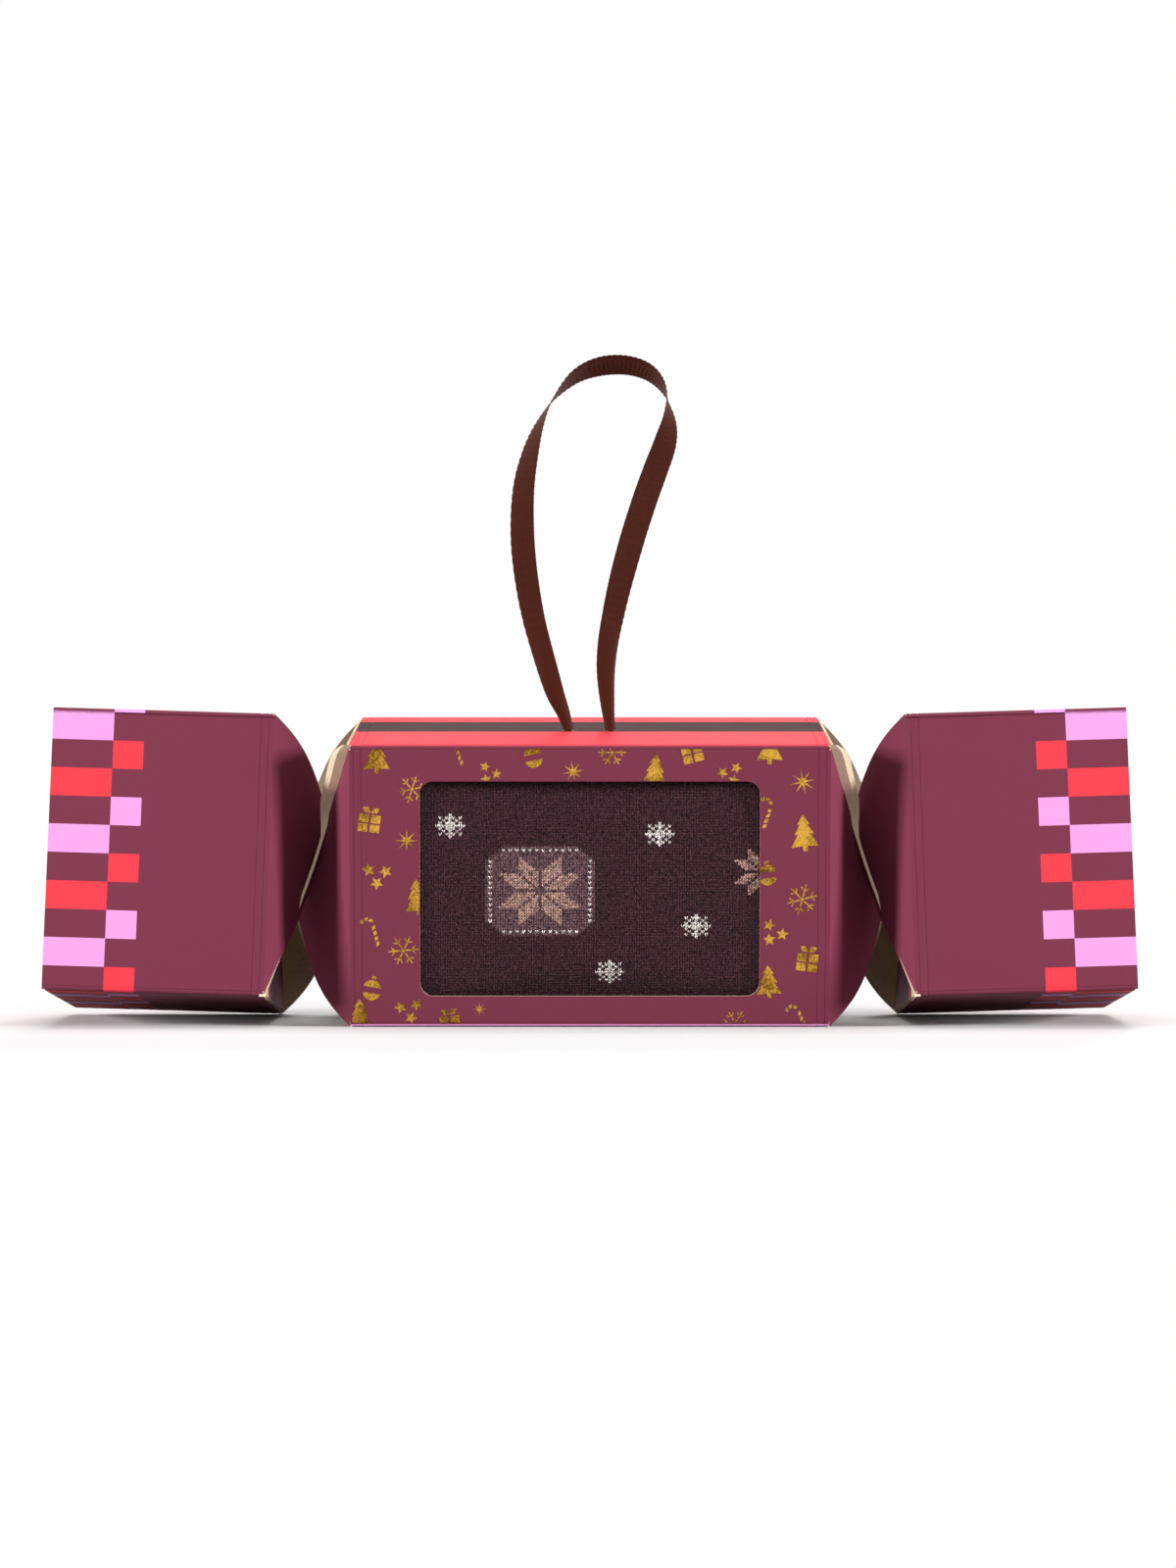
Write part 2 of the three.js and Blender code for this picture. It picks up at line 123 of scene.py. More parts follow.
class PrintColours(bpy.types.PropertyGroup):
    """Inks, board and foil of the carton."""

    plum: srgb("Plum", "Main ink", "#773649")
    aubergine: srgb("Aubergine", "Band on the top panel", "#382022")
    red: srgb("Red", "Red of the checks and the top panel", "#ea414d")
    pink: srgb("Pink", "Pink of the checks and the bottom panel", "#eb9fdd")
    raw: srgb("Raw board", "Unprinted inside and cut edges", "#efdabb")
    foil: srgb("Foil", "Stamped ornaments", "#e3ae48")
    # The dark foil is painted shade: it stands for the dim reflections of the uneven foil
    foil_painted_shade: srgb("Dark foil", "Dents of the stamped ornaments", "#7c5718")


class CheckSizes(bpy.types.PropertyGroup):
    """The printed checks at the outer end of each end box."""

    rows: IntProperty(name="Rows", description="Rows of checks on each side of the box", default=10)
    outer_width: mm("Outer width", "Width of the outer column of checks", 16.7)
    inner_width: mm("Inner width", "Width of the inner column of checks", 8.3)
    offset: mm("Offset", "How far the rows start past a crease", 1.0)


class SockSettings(bpy.types.PropertyGroup):
    """Knit of the socks."""

    stitch_width: mm("Stitch width", "Width of one stitch", 0.9)
    stitch_height: mm("Stitch height", "Height of one row", 0.74)
    puff: mm("Puff", "Most that the folded sock swells", 1.9)
    dark: srgb("Dark yarn", "Ground of the sock", "#50333c")
    brown: srgb("Brown yarn", "Field behind the large star", "#83636b")
    taupe: srgb("Taupe yarn", "Large star", "#cfa99d")
    cream: srgb("Cream yarn", "Snowflakes and dots", "#fbf3ee")
    seed: IntProperty(name="Seed", description="Seed of the stitches' unevenness", default=11)


class RibbonSizes(bpy.types.PropertyGroup):
    """The hanging loop."""

    width: mm("Width", "Width of the ribbon", 7)
    thickness: mm("Thickness", "Thickness of the ribbon", 0.28)
    bunch: mm("Bunch", "Width where it is gathered into a hole", 2.9)
    spacing: mm("Hole spacing", "Distance between the two holes", 11.5)
    hole_radius: mm("Hole radius", "Radius of each hole", 2.2)
    brown: srgb("Brown", "Colour of the ribbon", "#3c180d")


class StudioSettings(bpy.types.PropertyGroup):
    """Camera, floor and lamps."""

    distance: mm("Camera distance", "How far the camera is in front of the origin", 1238)
    height: mm("Camera height", "Height of the camera over the floor", 66)
    shift_left: mm("Camera left", "How far the camera is left of the middle", 0.5)
    lens: FloatProperty(name="Lens", description="Focal length in millimetres", default=101.8)
    floor: srgb("Floor", "Colour of the floor", "#f7f7f7")
    bounce: srgb("Bounce", "Colour of the light that the floor throws back up", "#8c8987")
    near_floor: mm("Near floor", "Radius of the floor that keeps the shadow", 240)
    far_floor: mm("Far floor", "Radius beyond which the floor is plain white", 520)
    ambient: FloatProperty(name="Ambient", description="Strength of the light from all round", default=0.1)
    front: watts("Front lamp", "Power of the lamp behind the camera", 6)
    back: watts("Back lamp", "Power of the lamp behind the carton", 26)
    sides: watts("Side lamps", "Power of the lamp at each side", 68)
    top: watts("Top lamp", "Power of the lamp overhead", 7.2)


# Frames

def axis_height(sizes):
    return sizes.side / 2 * (math.sin(sizes.tilt) + math.cos(sizes.tilt))


def centre_frame(sizes):
    """The centre box's own frame, which leans forward."""
    return Matrix.Translation((0, 0, axis_height(sizes))) @ Matrix.Rotation(sizes.tilt, 4, "X")


def front_frame(sizes):
    """The centre box's frame, with z towards its front."""
    return centre_frame(sizes) @ Matrix.Rotation(math.pi / 2, 4, "X")


def end_frame(sizes, side):
    """An end box's own frame. Its origin is the middle of the box's inner end."""
    place = Matrix.Translation((side * (sizes.centre_length / 2 + sizes.neck_length), 0, axis_height(sizes)))
    return place @ Matrix.Rotation(-side * sizes.lift, 4, "Y") @ Matrix.Rotation(-sizes.tilt, 4, "X")


def frame_of(origin, across, up):
    """A matrix whose x and y axes are across and up, and whose z axis points away from the sheet."""
    across, up = Vector(across).normalized(), Vector(up).normalized()
    return Matrix.Translation(origin) @ Matrix((across, up, across.cross(up))).transposed().to_4x4()


# Meshes and objects

class Shape:
    """Corners and faces of one piece, with a material number for each face."""

    def __init__(self):
        self.corners, self.faces, self.finishes = [], [], []

    def add_face(self, numbers, finish):
        self.faces.append(list(numbers))
        self.finishes.append(finish)

    def add_wall(self, outer, inner, finish):
        """A closed wall between two grids of points. Finish gives the outer faces' material number."""
        rows, columns = len(outer), len(outer[0])
        start = len(self.corners)
        for row in (*outer, *inner):
            self.corners += [Vector(p) for p in row]

        def at(layer, i, j):
            return start + (layer * rows + i) * columns + j

        for i in range(rows - 1):
            for j in range(columns - 1):
                around = ((i, j), (i, j + 1), (i + 1, j + 1), (i + 1, j))
                self.add_face([at(0, *c) for c in around], finish(i, j))
                self.add_face([at(1, *c) for c in (around[0], *around[:0:-1])], RAW)
        rim = [((i, j), (i + 1, j)) for i in range(rows - 1) for j in (0, columns - 1)]
        rim += [((i, j), (i, j + 1)) for j in range(columns - 1) for i in (0, rows - 1)]
        for a, b in rim:
            self.add_face((at(0, *a), at(0, *b), at(1, *b), at(1, *a)), RAW)

    def add_plate(self, outline, front, back, matrix, finish):
        """A flat plate from an outline of (x, y) points, between the heights front and back."""
        start, count = len(self.corners), len(outline)
        self.corners += [matrix @ Vector((x, y, height)) for height in (front, back) for x, y in outline]
        self.add_face(range(start, start + count), finish)
        self.add_face(range(start + 2 * count - 1, start + count - 1, -1), RAW)
        for i in range(count):
            j = (i + 1) % count
            self.add_face((start + i, start + count + i, start + count + j, start + j), RAW)

    def mesh(self, name, materials, sharp=30):
        """The finished mesh, with its faces turned outwards and edges sharper than the angle kept."""
        mesh = bpy.data.meshes.new(name)
        mesh.from_pydata(self.corners, [], self.faces)
        for material in materials:
            mesh.materials.append(material)
        mesh.polygons.foreach_set("material_index", self.finishes)
        turn_outwards(mesh)
        shade(mesh, sharp)
        return mesh

    def object(self, name, materials=None, sharp=30):
        """A new object with the mesh, in raw board and the inks unless materials are given."""
        return new_object(name, self.mesh(name, materials or board_materials(), sharp))


def plate(outline, front, back, matrix, finish=RAW):
    shape = Shape()
    shape.add_plate(outline, front, back, matrix, finish)
    return shape


def turn_outwards(mesh):
    work = bmesh.new()
    work.from_mesh(mesh)
    bmesh.ops.recalc_face_normals(work, faces=work.faces)
    work.to_mesh(mesh)
    work.free()


def shade(mesh, sharp):
    mesh.shade_smooth()
    mesh.set_sharp_from_angle(angle=math.radians(sharp))


def new_object(name, data):
    obj = bpy.data.objects.new(name, data)
    bpy.context.scene.collection.objects.link(obj)
    return obj


def discard(obj):
    """Removes a helper object and its mesh."""
    mesh = obj.data
    bpy.data.objects.remove(obj)
    bpy.data.meshes.remove(mesh)


def settle(obj, node=None, body="carton"):
    """The piece rides on its body and stands for the frame's node."""
    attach(obj, body)
    if node:
        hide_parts(node)


def applied(obj):
    """Turns an object's modifiers into its plain mesh."""
    bpy.context.view_layer.update()
    graph = bpy.context.evaluated_depsgraph_get()
    mesh = bpy.data.meshes.new_from_object(obj.evaluated_get(graph))
    obj.modifiers.clear()
    old = obj.data
    mesh.name = old.name
    obj.data = mesh
    if not old.users:
        bpy.data.meshes.remove(old)
    return obj


def trim(obj, cutter, operation="DIFFERENCE"):
    """Cuts the cutter out of the object, or keeps only what is in it. The cutter is used up."""
    cut = obj.modifiers.new("cut", "BOOLEAN")
    cut.object = cutter
    cut.operation = operation
    cut.solver = "EXACT"
    cut.material_mode = "TRANSFER"
    # The ornaments' parts overlap each other
    cut.use_self = operation == "INTERSECT"
    applied(obj)
    discard(cutter)


def cut_away(obj, shape, material):
    """Cuts a shape out of the board. The cut faces have the material."""
    trim(obj, shape.object("cutter", [material]))
    shade(obj.data, BOARD_SHARP)


def arc(centre, radius, start, stop, steps):
    """Points on an arc, in degrees."""
    angles = np.radians(np.linspace(start, stop, steps + 1))
    return [(centre[0] + radius * math.cos(a), centre[1] + radius * math.sin(a)) for a in angles]


def rounded_rectangle(width, height, radius, steps=8):
    x, y = width / 2 - radius, height / 2 - radius
    corners = (((x, -y), -90), ((x, y), 0), ((-x, y), 90), ((-x, -y), 180))
    return [p for centre, start in corners for p in arc(centre, radius, start, start + 90, steps)]


def window_outline(sizes, margin=0.0):
    width, height = sizes.window_width + 2 * margin, sizes.window_height + 2 * margin
    outline = rounded_rectangle(width, height, sizes.window_corner + margin)
    return [(x, y - sizes.window_drop) for x, y in outline]


# Materials

def add_node(tree, kind, inputs=None, **settings):
    """Adds a node. Inputs maps a socket to a value, another node's output, or a node for its first output."""
    node = tree.nodes.new(kind)
    for key, value in settings.items():
        setattr(node, key, value)
    for key, value in (inputs or {}).items():
        if isinstance(value, bpy.types.Node):
            value = value.outputs[0]
        if isinstance(value, bpy.types.NodeSocket):
            tree.links.new(value, node.inputs[key])
        else:
            node.inputs[key].default_value = value
    return node


def new_material(name):
    material = bpy.data.materials.new(name)
    material.use_nodes = True
    material.node_tree.nodes.clear()
    return material, material.node_tree


def finish_material(tree, inputs, kind="ShaderNodeBsdfPrincipled"):
    """Adds the last shader and joins it to the material's output."""
    add_node(tree, "ShaderNodeOutputMaterial", {"Surface": add_node(tree, kind, inputs)})


def mottled(tree, colour, grain, shades, detail=3.0, points=None, levels=(0, 1)):
    """The colour, made lighter and darker by a noise with the grain's size. Also returns the noise."""
    vector = points or add_node(tree, "ShaderNodeTexCoord").outputs["Object"]
    noise = add_node(tree, "ShaderNodeTexNoise", {"Vector": vector, "Scale": 1 / grain, "Detail": detail})
    low, high = levels
    darker, lighter = shades
    shade_of = add_node(tree, "ShaderNodeMapRange", {"Value": noise, 1: low, 2: high, 3: darker, 4: lighter})
    return add_node(tree, "ShaderNodeVectorMath", {0: colour, "Scale": shade_of}, operation="SCALE"), noise


def printed_board(name, colour):
    """Offset-printed paperboard under a satin varnish: even ink over faint fibres and slow waves."""
    material, tree = new_material(name)
    ink, fibres = mottled(tree, colour[:3], 0.5 * MM, (0.93, 1.05))
    points = add_node(tree, "ShaderNodeTexCoord").outputs["Object"]
    cloud = add_node(tree, "ShaderNodeTexNoise", {"Vector": points, "Scale": 1 / (22 * MM), "Detail": 2.0})
    gloss = add_node(tree, "ShaderNodeMapRange", {"Value": cloud, 3: 0.6, 4: 0.7})
    relief = add_node(tree, "ShaderNodeBump", {"Height": fibres, "Strength": 0.12, "Distance": 0.06 * MM})
    wave_height = {"Height": cloud, "Strength": 0.35, "Distance": 0.5 * MM, "Normal": relief}
    wave = add_node(tree, "ShaderNodeBump", wave_height)
    look = {"Base Color": ink, "Roughness": gloss, "Normal": wave, "IOR": 1.22}
    finish_material(tree, look)
    return material


def raw_paperboard(colour):
    """Uncoated side and cut edge of folding boxboard: matt, warm, with short fibres."""
    material, tree = new_material("uncoated_folding_boxboard")
    tint, fibres = mottled(tree, colour[:3], 0.8 * MM, (0.84, 1.14), detail=5.0)
    relief = add_node(tree, "ShaderNodeBump", {"Height": fibres, "Strength": 0.3, "Distance": 0.1 * MM})
    look = {"Base Color": tint, "Roughness": 0.92, "Normal": relief}
    finish_material(tree, look)
    return material


def stamped_foil(bright, dark):
    """Hot-stamped gold foil. It takes on the board's fine texture as relief. Its colour is mixed from bright
    and dark gold by noise: a painted glitter of uneven reflections.
    """
    material, tree = new_material("hot_stamped_gold_foil")
    points = add_node(tree, "ShaderNodeTexCoord").outputs["Object"]
    grain = add_node(tree, "ShaderNodeTexNoise", {"Vector": points, "Scale": 1 / (0.6 * MM), "Detail": 3.0})
    patches = add_node(tree, "ShaderNodeTexNoise", {"Vector": points, "Scale": 1 / (9 * MM), "Detail": 1.0})
    # The colour goes between dark and bright gold with the fine grain and the coarse patches: painted dim
    # reflections and painted glints
    both = add_node(tree, "ShaderNodeMath", {0: grain, 1: patches}, operation="ADD")
    share = add_node(tree, "ShaderNodeMapRange", {"Value": both, 1: 0.78, 2: 1.16})
    gold = add_node(tree, "ShaderNodeMix", {0: share, 6: dark, 7: bright}, data_type="RGBA")
    relief = add_node(tree, "ShaderNodeBump", {"Height": grain, "Strength": 0.6, "Distance": 0.15 * MM})
    look = {"Base Color": gold.outputs[2], "Metallic": 1.0, "Roughness": 0.34, "Normal": relief}
    finish_material(tree, look)
    return material


def dyed_yarn():
    """Combed cotton-blend yarn: matt, with a soft fuzz that lightens it at the edges."""
    material, tree = new_material("combed_cotton_yarn")
    dye = add_node(tree, "ShaderNodeAttribute", attribute_name="yarn").outputs["Color"]
    tint, fuzz = mottled(tree, dye, 0.6 * MM, (0.25, 1.9), detail=4.0, levels=(0.36, 0.66))
    relief = add_node(tree, "ShaderNodeBump", {"Height": fuzz, "Strength": 0.5, "Distance": 0.1 * MM})
    look = {"Base Color": tint, "Roughness": 0.9, "Normal": relief}
    finish_material(tree, {**look, "Sheen Weight": 0.08, "Sheen Roughness": 0.4})
    return material


def jersey(sock):
    """Single jersey knit where no modelled stitch covers it: rows of small Vs as relief, with painted shade
    darkening the low places between them.
    """
    material, tree = new_material("cotton_jersey_knit")
    place = add_node(tree, "ShaderNodeTexCoord").outputs["Object"]
    x, _, z = add_node(tree, "ShaderNodeSeparateXYZ", {0: place}).outputs
    found = {"x": x, "z": z}
    steps = (
        ("columns", "DIVIDE", "x", sock.stitch_width),
        ("column", "FRACT", "columns"),
        ("from_middle", "SUBTRACT", "column", 0.5),
        ("leg", "ABSOLUTE", "from_middle"),
        ("rows", "DIVIDE", "z", sock.stitch_height),
        ("slanted", "SUBTRACT", "rows", "leg"),
        ("row", "FRACT", "slanted"),
        ("row_angle", "MULTIPLY", "row", math.pi),
        ("row_bulge", "SINE", "row_angle"),
        ("leg_angle", "MULTIPLY", "leg", 2 * math.pi),
        ("leg_bulge", "SINE", "leg_angle"),
        ("height", "MULTIPLY", "row_bulge", "leg_bulge"),
    )
    for name, operation, *terms in steps:
        inputs = {k: found.get(term, term) for k, term in enumerate(terms)}
        found[name] = add_node(tree, "ShaderNodeMath", inputs, operation=operation)
    height = found["height"]
    relief = add_node(tree, "ShaderNodeBump", {"Height": height, "Strength": 0.8, "Distance": 0.25 * MM})
    # Painted shade: the dark yarn is scaled from 0.7 on the Vs down to 0.1 between them
    depth = add_node(tree, "ShaderNodeMapRange", {"Value": height, 3: 0.1, 4: 0.7})
    tint = add_node(tree, "ShaderNodeVectorMath", {0: sock.dark[:3], "Scale": depth}, operation="SCALE")
    look = {"Base Color": tint, "Roughness": 0.9, "Sheen Weight": 0.2, "Normal": relief}
    finish_material(tree, look)
    return material


def satin(colour):
    """Woven polyester satin: fine cross threads, and soft streaks along the ribbon."""
    material, tree = new_material("woven_polyester_satin")
    flat = add_node(tree, "ShaderNodeUVMap", uv_map="UVMap")
    across, along, _ = add_node(tree, "ShaderNodeSeparateXYZ", {0: flat}).outputs
    threads = []
    # The threads are drawn 0.4 mm apart and more, coarser than the real 0.1 mm, so that they show
    for place, spacing in ((along, 0.45 * MM), (across, 0.4 * MM)):
        angle = add_node(tree, "ShaderNodeMath", {0: place, 1: 2 * math.pi / spacing}, operation="MULTIPLY")
        threads.append(add_node(tree, "ShaderNodeMath", {0: angle}, operation="SINE"))
    faint = add_node(tree, "ShaderNodeMath", {0: threads[1], 1: 0.4}, operation="MULTIPLY")
    weave = add_node(tree, "ShaderNodeMath", {0: threads[0], 1: faint}, operation="ADD")
    shortened = add_node(tree, "ShaderNodeMath", {0: along, 1: 0.12}, operation="MULTIPLY")
    drawn_out = add_node(tree, "ShaderNodeCombineXYZ", {0: across, 1: shortened})
    tint, _ = mottled(tree, colour[:3], 0.8 * MM, (0.78, 1.25), points=drawn_out)
    relief = add_node(tree, "ShaderNodeBump", {"Height": weave, "Strength": 0.12, "Distance": 0.04 * MM})
    look = {"Base Color": tint, "Roughness": 0.62, "IOR": 1.3, "Normal": relief}
    finish_material(tree, look)
    return material


def board_materials():
    """Raw board and the four inks, made once and shared by all the carton's pieces."""
    inks = bpy.context.scene.cracker_print
    known = bpy.data.materials
    raw = known.get("uncoated_folding_boxboard") or raw_paperboard(inks.raw)
    names = [f"varnished_board_{ink}" for ink in ("plum", "pink", "red", "aubergine")]
    colours = (inks.plum, inks.pink, inks.red, inks.aubergine)
    return [raw, *(known.get(n) or printed_board(n, c) for n, c in zip(names, colours))]


# Stage

class CRACKER_OT_stage(bpy.types.Operator):
    """Makes the camera, the pale floor, the soft lamps and the white surroundings"""

    bl_idname = "cracker.stage"
    bl_label = "Stage"

    def execute(self, context):
        scene, studio = context.scene, context.scene.cracker_studio
        data = bpy.data.cameras.new("camera")
        data.lens, data.sensor_width = studio.lens, 36
        data.clip_start, data.clip_end = 0.05, 50
        camera = new_object("camera", data)
        camera.location = (-studio.shift_left, -studio.distance, studio.height)
        camera.rotation_euler = (math.pi / 2, 0, 0)
        scene.camera = camera
        scene.view_settings.view_transform = "Standard"
        floor(studio)
        scene.world = white_studio(studio)
        add_lamp("front_lamp", (0, -1.85, 0.85), 0.6, studio.front)
        add_lamp("back_lamp", (0.3, 1.8, 1.0), 0.9, studio.back)
        for word, side in SIDES:
            add_lamp(f"{word}_lamp", (side * 2.1, -0.78, 0.45), 0.6, studio.sides)
        add_lamp("top_lamp", (0, 0.15, 1.4), 0.7, studio.top, glints=True)
        return {"FINISHED"}


def floor(studio):
    """A matt paper sweep that keeps the shadow and fades to white further out."""
    reach = 20.0
    mesh = bpy.data.meshes.new("floor")
    corners = [(-reach, -reach, 0), (reach, -reach, 0), (reach, reach, 0), (-reach, reach, 0)]
    mesh.from_pydata(corners, [], [(0, 1, 2, 3)])
    material, tree = new_material("matt_white_paper_sweep")
    seen = seen_directly(tree)
    tone = add_node(tree, "ShaderNodeMix", {0: seen, 6: studio.bounce, 7: studio.floor}, data_type="RGBA")
    matt = add_node(tree, "ShaderNodeBsdfDiffuse", {"Color": tone.outputs[2]})
    white = add_node(tree, "ShaderNodeEmission", {"Color": (1, 1, 1, 1), "Strength": 1.0})
    place = add_node(tree, "ShaderNodeTexCoord").outputs["Object"]
    out = add_node(tree, "ShaderNodeVectorMath", {0: place}, operation="LENGTH").outputs["Value"]
    fade = {"Value": out, 1: studio.near_floor, 2: studio.far_floor}
    far = add_node(tree, "ShaderNodeMapRange", fade, interpolation_type="SMOOTHSTEP")
    share = add_node(tree, "ShaderNodeMath", {0: seen, 1: far}, operation="MULTIPLY")
    finish_material(tree, {0: share, 1: matt, 2: white}, "ShaderNodeMixShader")
    mesh.materials.append(material)
    return new_object("floor", mesh)


def white_studio(studio):
    """White to look at, and a weak light from all round."""
    world = bpy.data.worlds.new("white_studio")
    world.use_nodes = True
    tree = world.node_tree
    tree.nodes.clear()
    strength = add_node(tree, "ShaderNodeMapRange", {"Value": seen_directly(tree), 3: studio.ambient, 4: 1.0})
    sky = add_node(tree, "ShaderNodeBackground", {"Color": (1, 1, 1, 1), "Strength": strength})
    add_node(tree, "ShaderNodeOutputWorld", {"Surface": sky})
    return world


def add_lamp(name, place, size, power, glints=False):
    """A square lamp aimed at the carton. Without glints, the varnish doesn't mirror it."""
    data = bpy.data.lights.new(name, "AREA")
    data.shape = "SQUARE"
    data.size, data.energy = size, power
    lamp = new_object(name, data)
    lamp.location = place
    lamp.visible_glossy = glints
    aim = Vector((0, 0, 0.05)) - lamp.location
    lamp.rotation_euler = aim.to_track_quat("-Z", "Y").to_euler()


def seen_directly(tree):
    """1 for what the camera, a reflection or a refraction sees."""
    ray = add_node(tree, "ShaderNodeLightPath").outputs
    first = {0: ray["Is Camera Ray"], 1: ray["Is Glossy Ray"]}
    second = {0: add_node(tree, "ShaderNodeMath", first, operation="MAXIMUM"), 1: ray["Is Transmission Ray"]}
    return add_node(tree, "ShaderNodeMath", second, operation="MAXIMUM")


# Ribbon

# The loop over its exits, as [x, height over the top panel, degrees turned edge-on], in mm
LOOP_ROUTE = (
    (-5.75, 0, 20), (-7.5, 5, 24), (-10.4, 11.7, 28), (-14.4, 25.8, 30), (-17.2, 39.4, 22), (-18.7, 53, 18),
    (-18.5, 66.6, 30), (-16.6, 77.2, 48), (-13.8, 85.7, 70), (-9.9, 92.5, 92), (-3.8, 98.6, 118),
    (3.2, 101.4, 134), (10.7, 101.6, 134), (16.9, 99.3, 124), (20.8, 94.4, 100), (22.1, 87.1, 60),
    (21, 80.1, 26), (18.1, 72, 8), (15.1, 63.6, 4), (11.6, 52.5, 8), (8.1, 39.4, 22), (5.8, 27.9, 32),
    (4.8, 17, 34), (5.1, 6.6, 26), (5.75, 0, 20),
)
# The right tail's turns in the knot, from the middle of the top panel's underside, in mm
KNOT_ROUTE = (
    (0.9, 0.9, -2), (-1.3, 0.8, -2.5), (-2.6, -0.4, -1.9),
    (-1.3, -1.3, -1.2), (0.6, -1.1, -2.2), (1.6, -1.9, -2.7),
)


def smooth_path(points, steps):
    """Points on one smooth curve through the given ones, evenly spread between each two."""
    points = np.array(points, float)
    padded = np.vstack([2 * points[0] - points[1], points, 2 * points[-1] - points[-2]])
    result = []
    for k in range(len(points) - 1):
        a, b, c, d = padded[k:k + 4]
        for t in np.arange(steps) / steps:
            cubic = (c - a) * t + (2 * a - 5 * b + 4 * c - d) * t * t + (3 * b - a - 3 * c + d) * t**3
            result.append(0.5 * (2 * b + cubic))
    return np.array([*result, points[-1]])


def smoothstep(value, low, high):
    t = np.clip((value - low) / (high - low), 0, 1)
    return t * t * (3 - 2 * t)


def ribbon_mesh(name, path, turns, widths, full_width, thickness, material):
    """A flat ribbon along a path. It curls across where it is narrower than its full width."""
    across_steps, edge_thinning = 10, 0.75
    tangents = np.gradient(path, axis=0)
    tangents /= np.linalg.norm(tangents, axis=1)[:, None]
    forward = np.array([0, 1.0, 0])
    along = np.concatenate([[0], np.cumsum(np.linalg.norm(np.diff(path, axis=0), axis=1))])
    around = [(face, q) for face in (1, -1) for q in np.linspace(-1, 1, across_steps + 1) * face]
    count = len(around)
    shape = Shape()
    for point, tangent, turn, width in zip(path, tangents, turns, widths):
        wide = np.cross(tangent, forward) * math.cos(turn) + forward * math.sin(turn)
        wide /= np.linalg.norm(wide)
        thick = np.cross(tangent, wide)
        curl = math.sqrt(max(full_width - width, 0) * 3 * width / 8)
        for face, q in around:
            height = curl * (0.5 - q * q) + face * thickness / 2 * (1 - edge_thinning * abs(q) ** 6)
            shape.corners.append(Vector(point + wide * q * width / 2 + thick * height))
    last = len(shape.corners) - count
    for start in range(0, last, count):
        for k in range(count):
            a, b = start + k, start + (k + 1) % count
            shape.add_face((a, b, b + count, a + count), 0)
    shape.add_face(range(count), 0)
    shape.add_face(range(last, last + count), 0)
    mesh = shape.mesh(name, [material], RIBBON_SHARP)
    layer = mesh.uv_layers.new(name="UVMap")
    for loop in mesh.loops:
        ring, k = divmod(loop.vertex_index, count)
        layer.data[loop.index].uv = (around[k][1] * full_width / 2, along[ring])
    return mesh, along[-1]


class CRACKER_OT_ribbon(bpy.types.Operator):
    """Makes the standing ribbon loop, and its knotted tails under the top panel"""

    bl_idname = "cracker.ribbon"
    bl_label = "Ribbon"

    def execute(self, context):
        sizes, ribbon = context.scene.cracker_carton, context.scene.cracker_ribbon
        material = satin(ribbon.brown)
        hanging_loop(sizes, ribbon, material)
        tied_tails(sizes, ribbon, material)
        return {"FINISHED"}


def hanging_loop(sizes, ribbon, material):
    """It is gathered narrow and untwisted over a short stretch above each hole."""
    steps, gather = 22, 0.14
    exit_point = centre_frame(sizes) @ Vector((0, 0, sizes.side / 2))
    route = smooth_path([(x, 0, z) for x, z, _ in LOOP_ROUTE], steps) * MM + np.array(exit_point)
    turns = smooth_path([(a, 0, 0) for _, _, a in LOOP_ROUTE], steps)[:, 0]
    share = np.linspace(0, 1, len(route))
    open_share = smoothstep(np.minimum(share, 1 - share), 0, gather)
    selvedge = 0.05 * MM * np.sin(np.arange(len(route)) * math.pi / 2)
    widths = ribbon.bunch + (ribbon.width - ribbon.bunch) * open_share + selvedge
    name = "ribbon_loop_satin"
    turns = np.radians(turns) * open_share
    mesh, length = ribbon_mesh(name, route, turns, widths, ribbon.width, ribbon.thickness, material)
    loop = new_object(name, mesh)
    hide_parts("ribbon_loop")
    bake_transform(loop)


def tied_tails(sizes, ribbon, material):
    """Both tails go down through the holes, run together and are tied in an overhand knot."""
    full_width, gathered_width, steps = 2 * MM, 1.5 * MM, 6
    under = np.array((0, 0, sizes.side / 2 - sizes.board))
    hole, above = ribbon.spacing / 2 / MM, sizes.board / MM + 0.3
    route = ((hole, 0, above), (hole, 0, -0.4), (0.8 * hole, 0, -1.3), (0.45 * hole, 0.3, -1.6), *KNOT_ROUTE)
    knot = bpy.data.meshes.new("ribbon_knot_tied")
    work = bmesh.new()
    for side in (-1, 1):
        path = smooth_path([(side * x, side * y, z) for x, y, z in route], steps) * MM + under
        still, widths = np.zeros(len(path)), np.full(len(path), gathered_width)
        tail, _ = ribbon_mesh("tail", path, still, widths, full_width, ribbon.thickness, material)
        tail.transform(centre_frame(sizes))
        work.from_mesh(tail)
        bpy.data.meshes.remove(tail)
    work.to_mesh(knot)
    work.free()
    knot.materials.append(material)
    shade(knot, RIBBON_SHARP)
    settle(new_object("ribbon_knot_tied", knot), "ribbon_knot")


# Panels

# Each side of the tube: the way it faces, the way its rows of checks count, and its first row
TUBE_SIDES = {
    "front": ((0, -1, 0), (0, 0, -1), 1),
    "bottom": ((0, 0, -1), (0, 1, 0), 11),
    "back": ((0, 1, 0), (0, 0, 1), 21),
    "top": ((0, 0, 1), (0, -1, 0), 31),
}


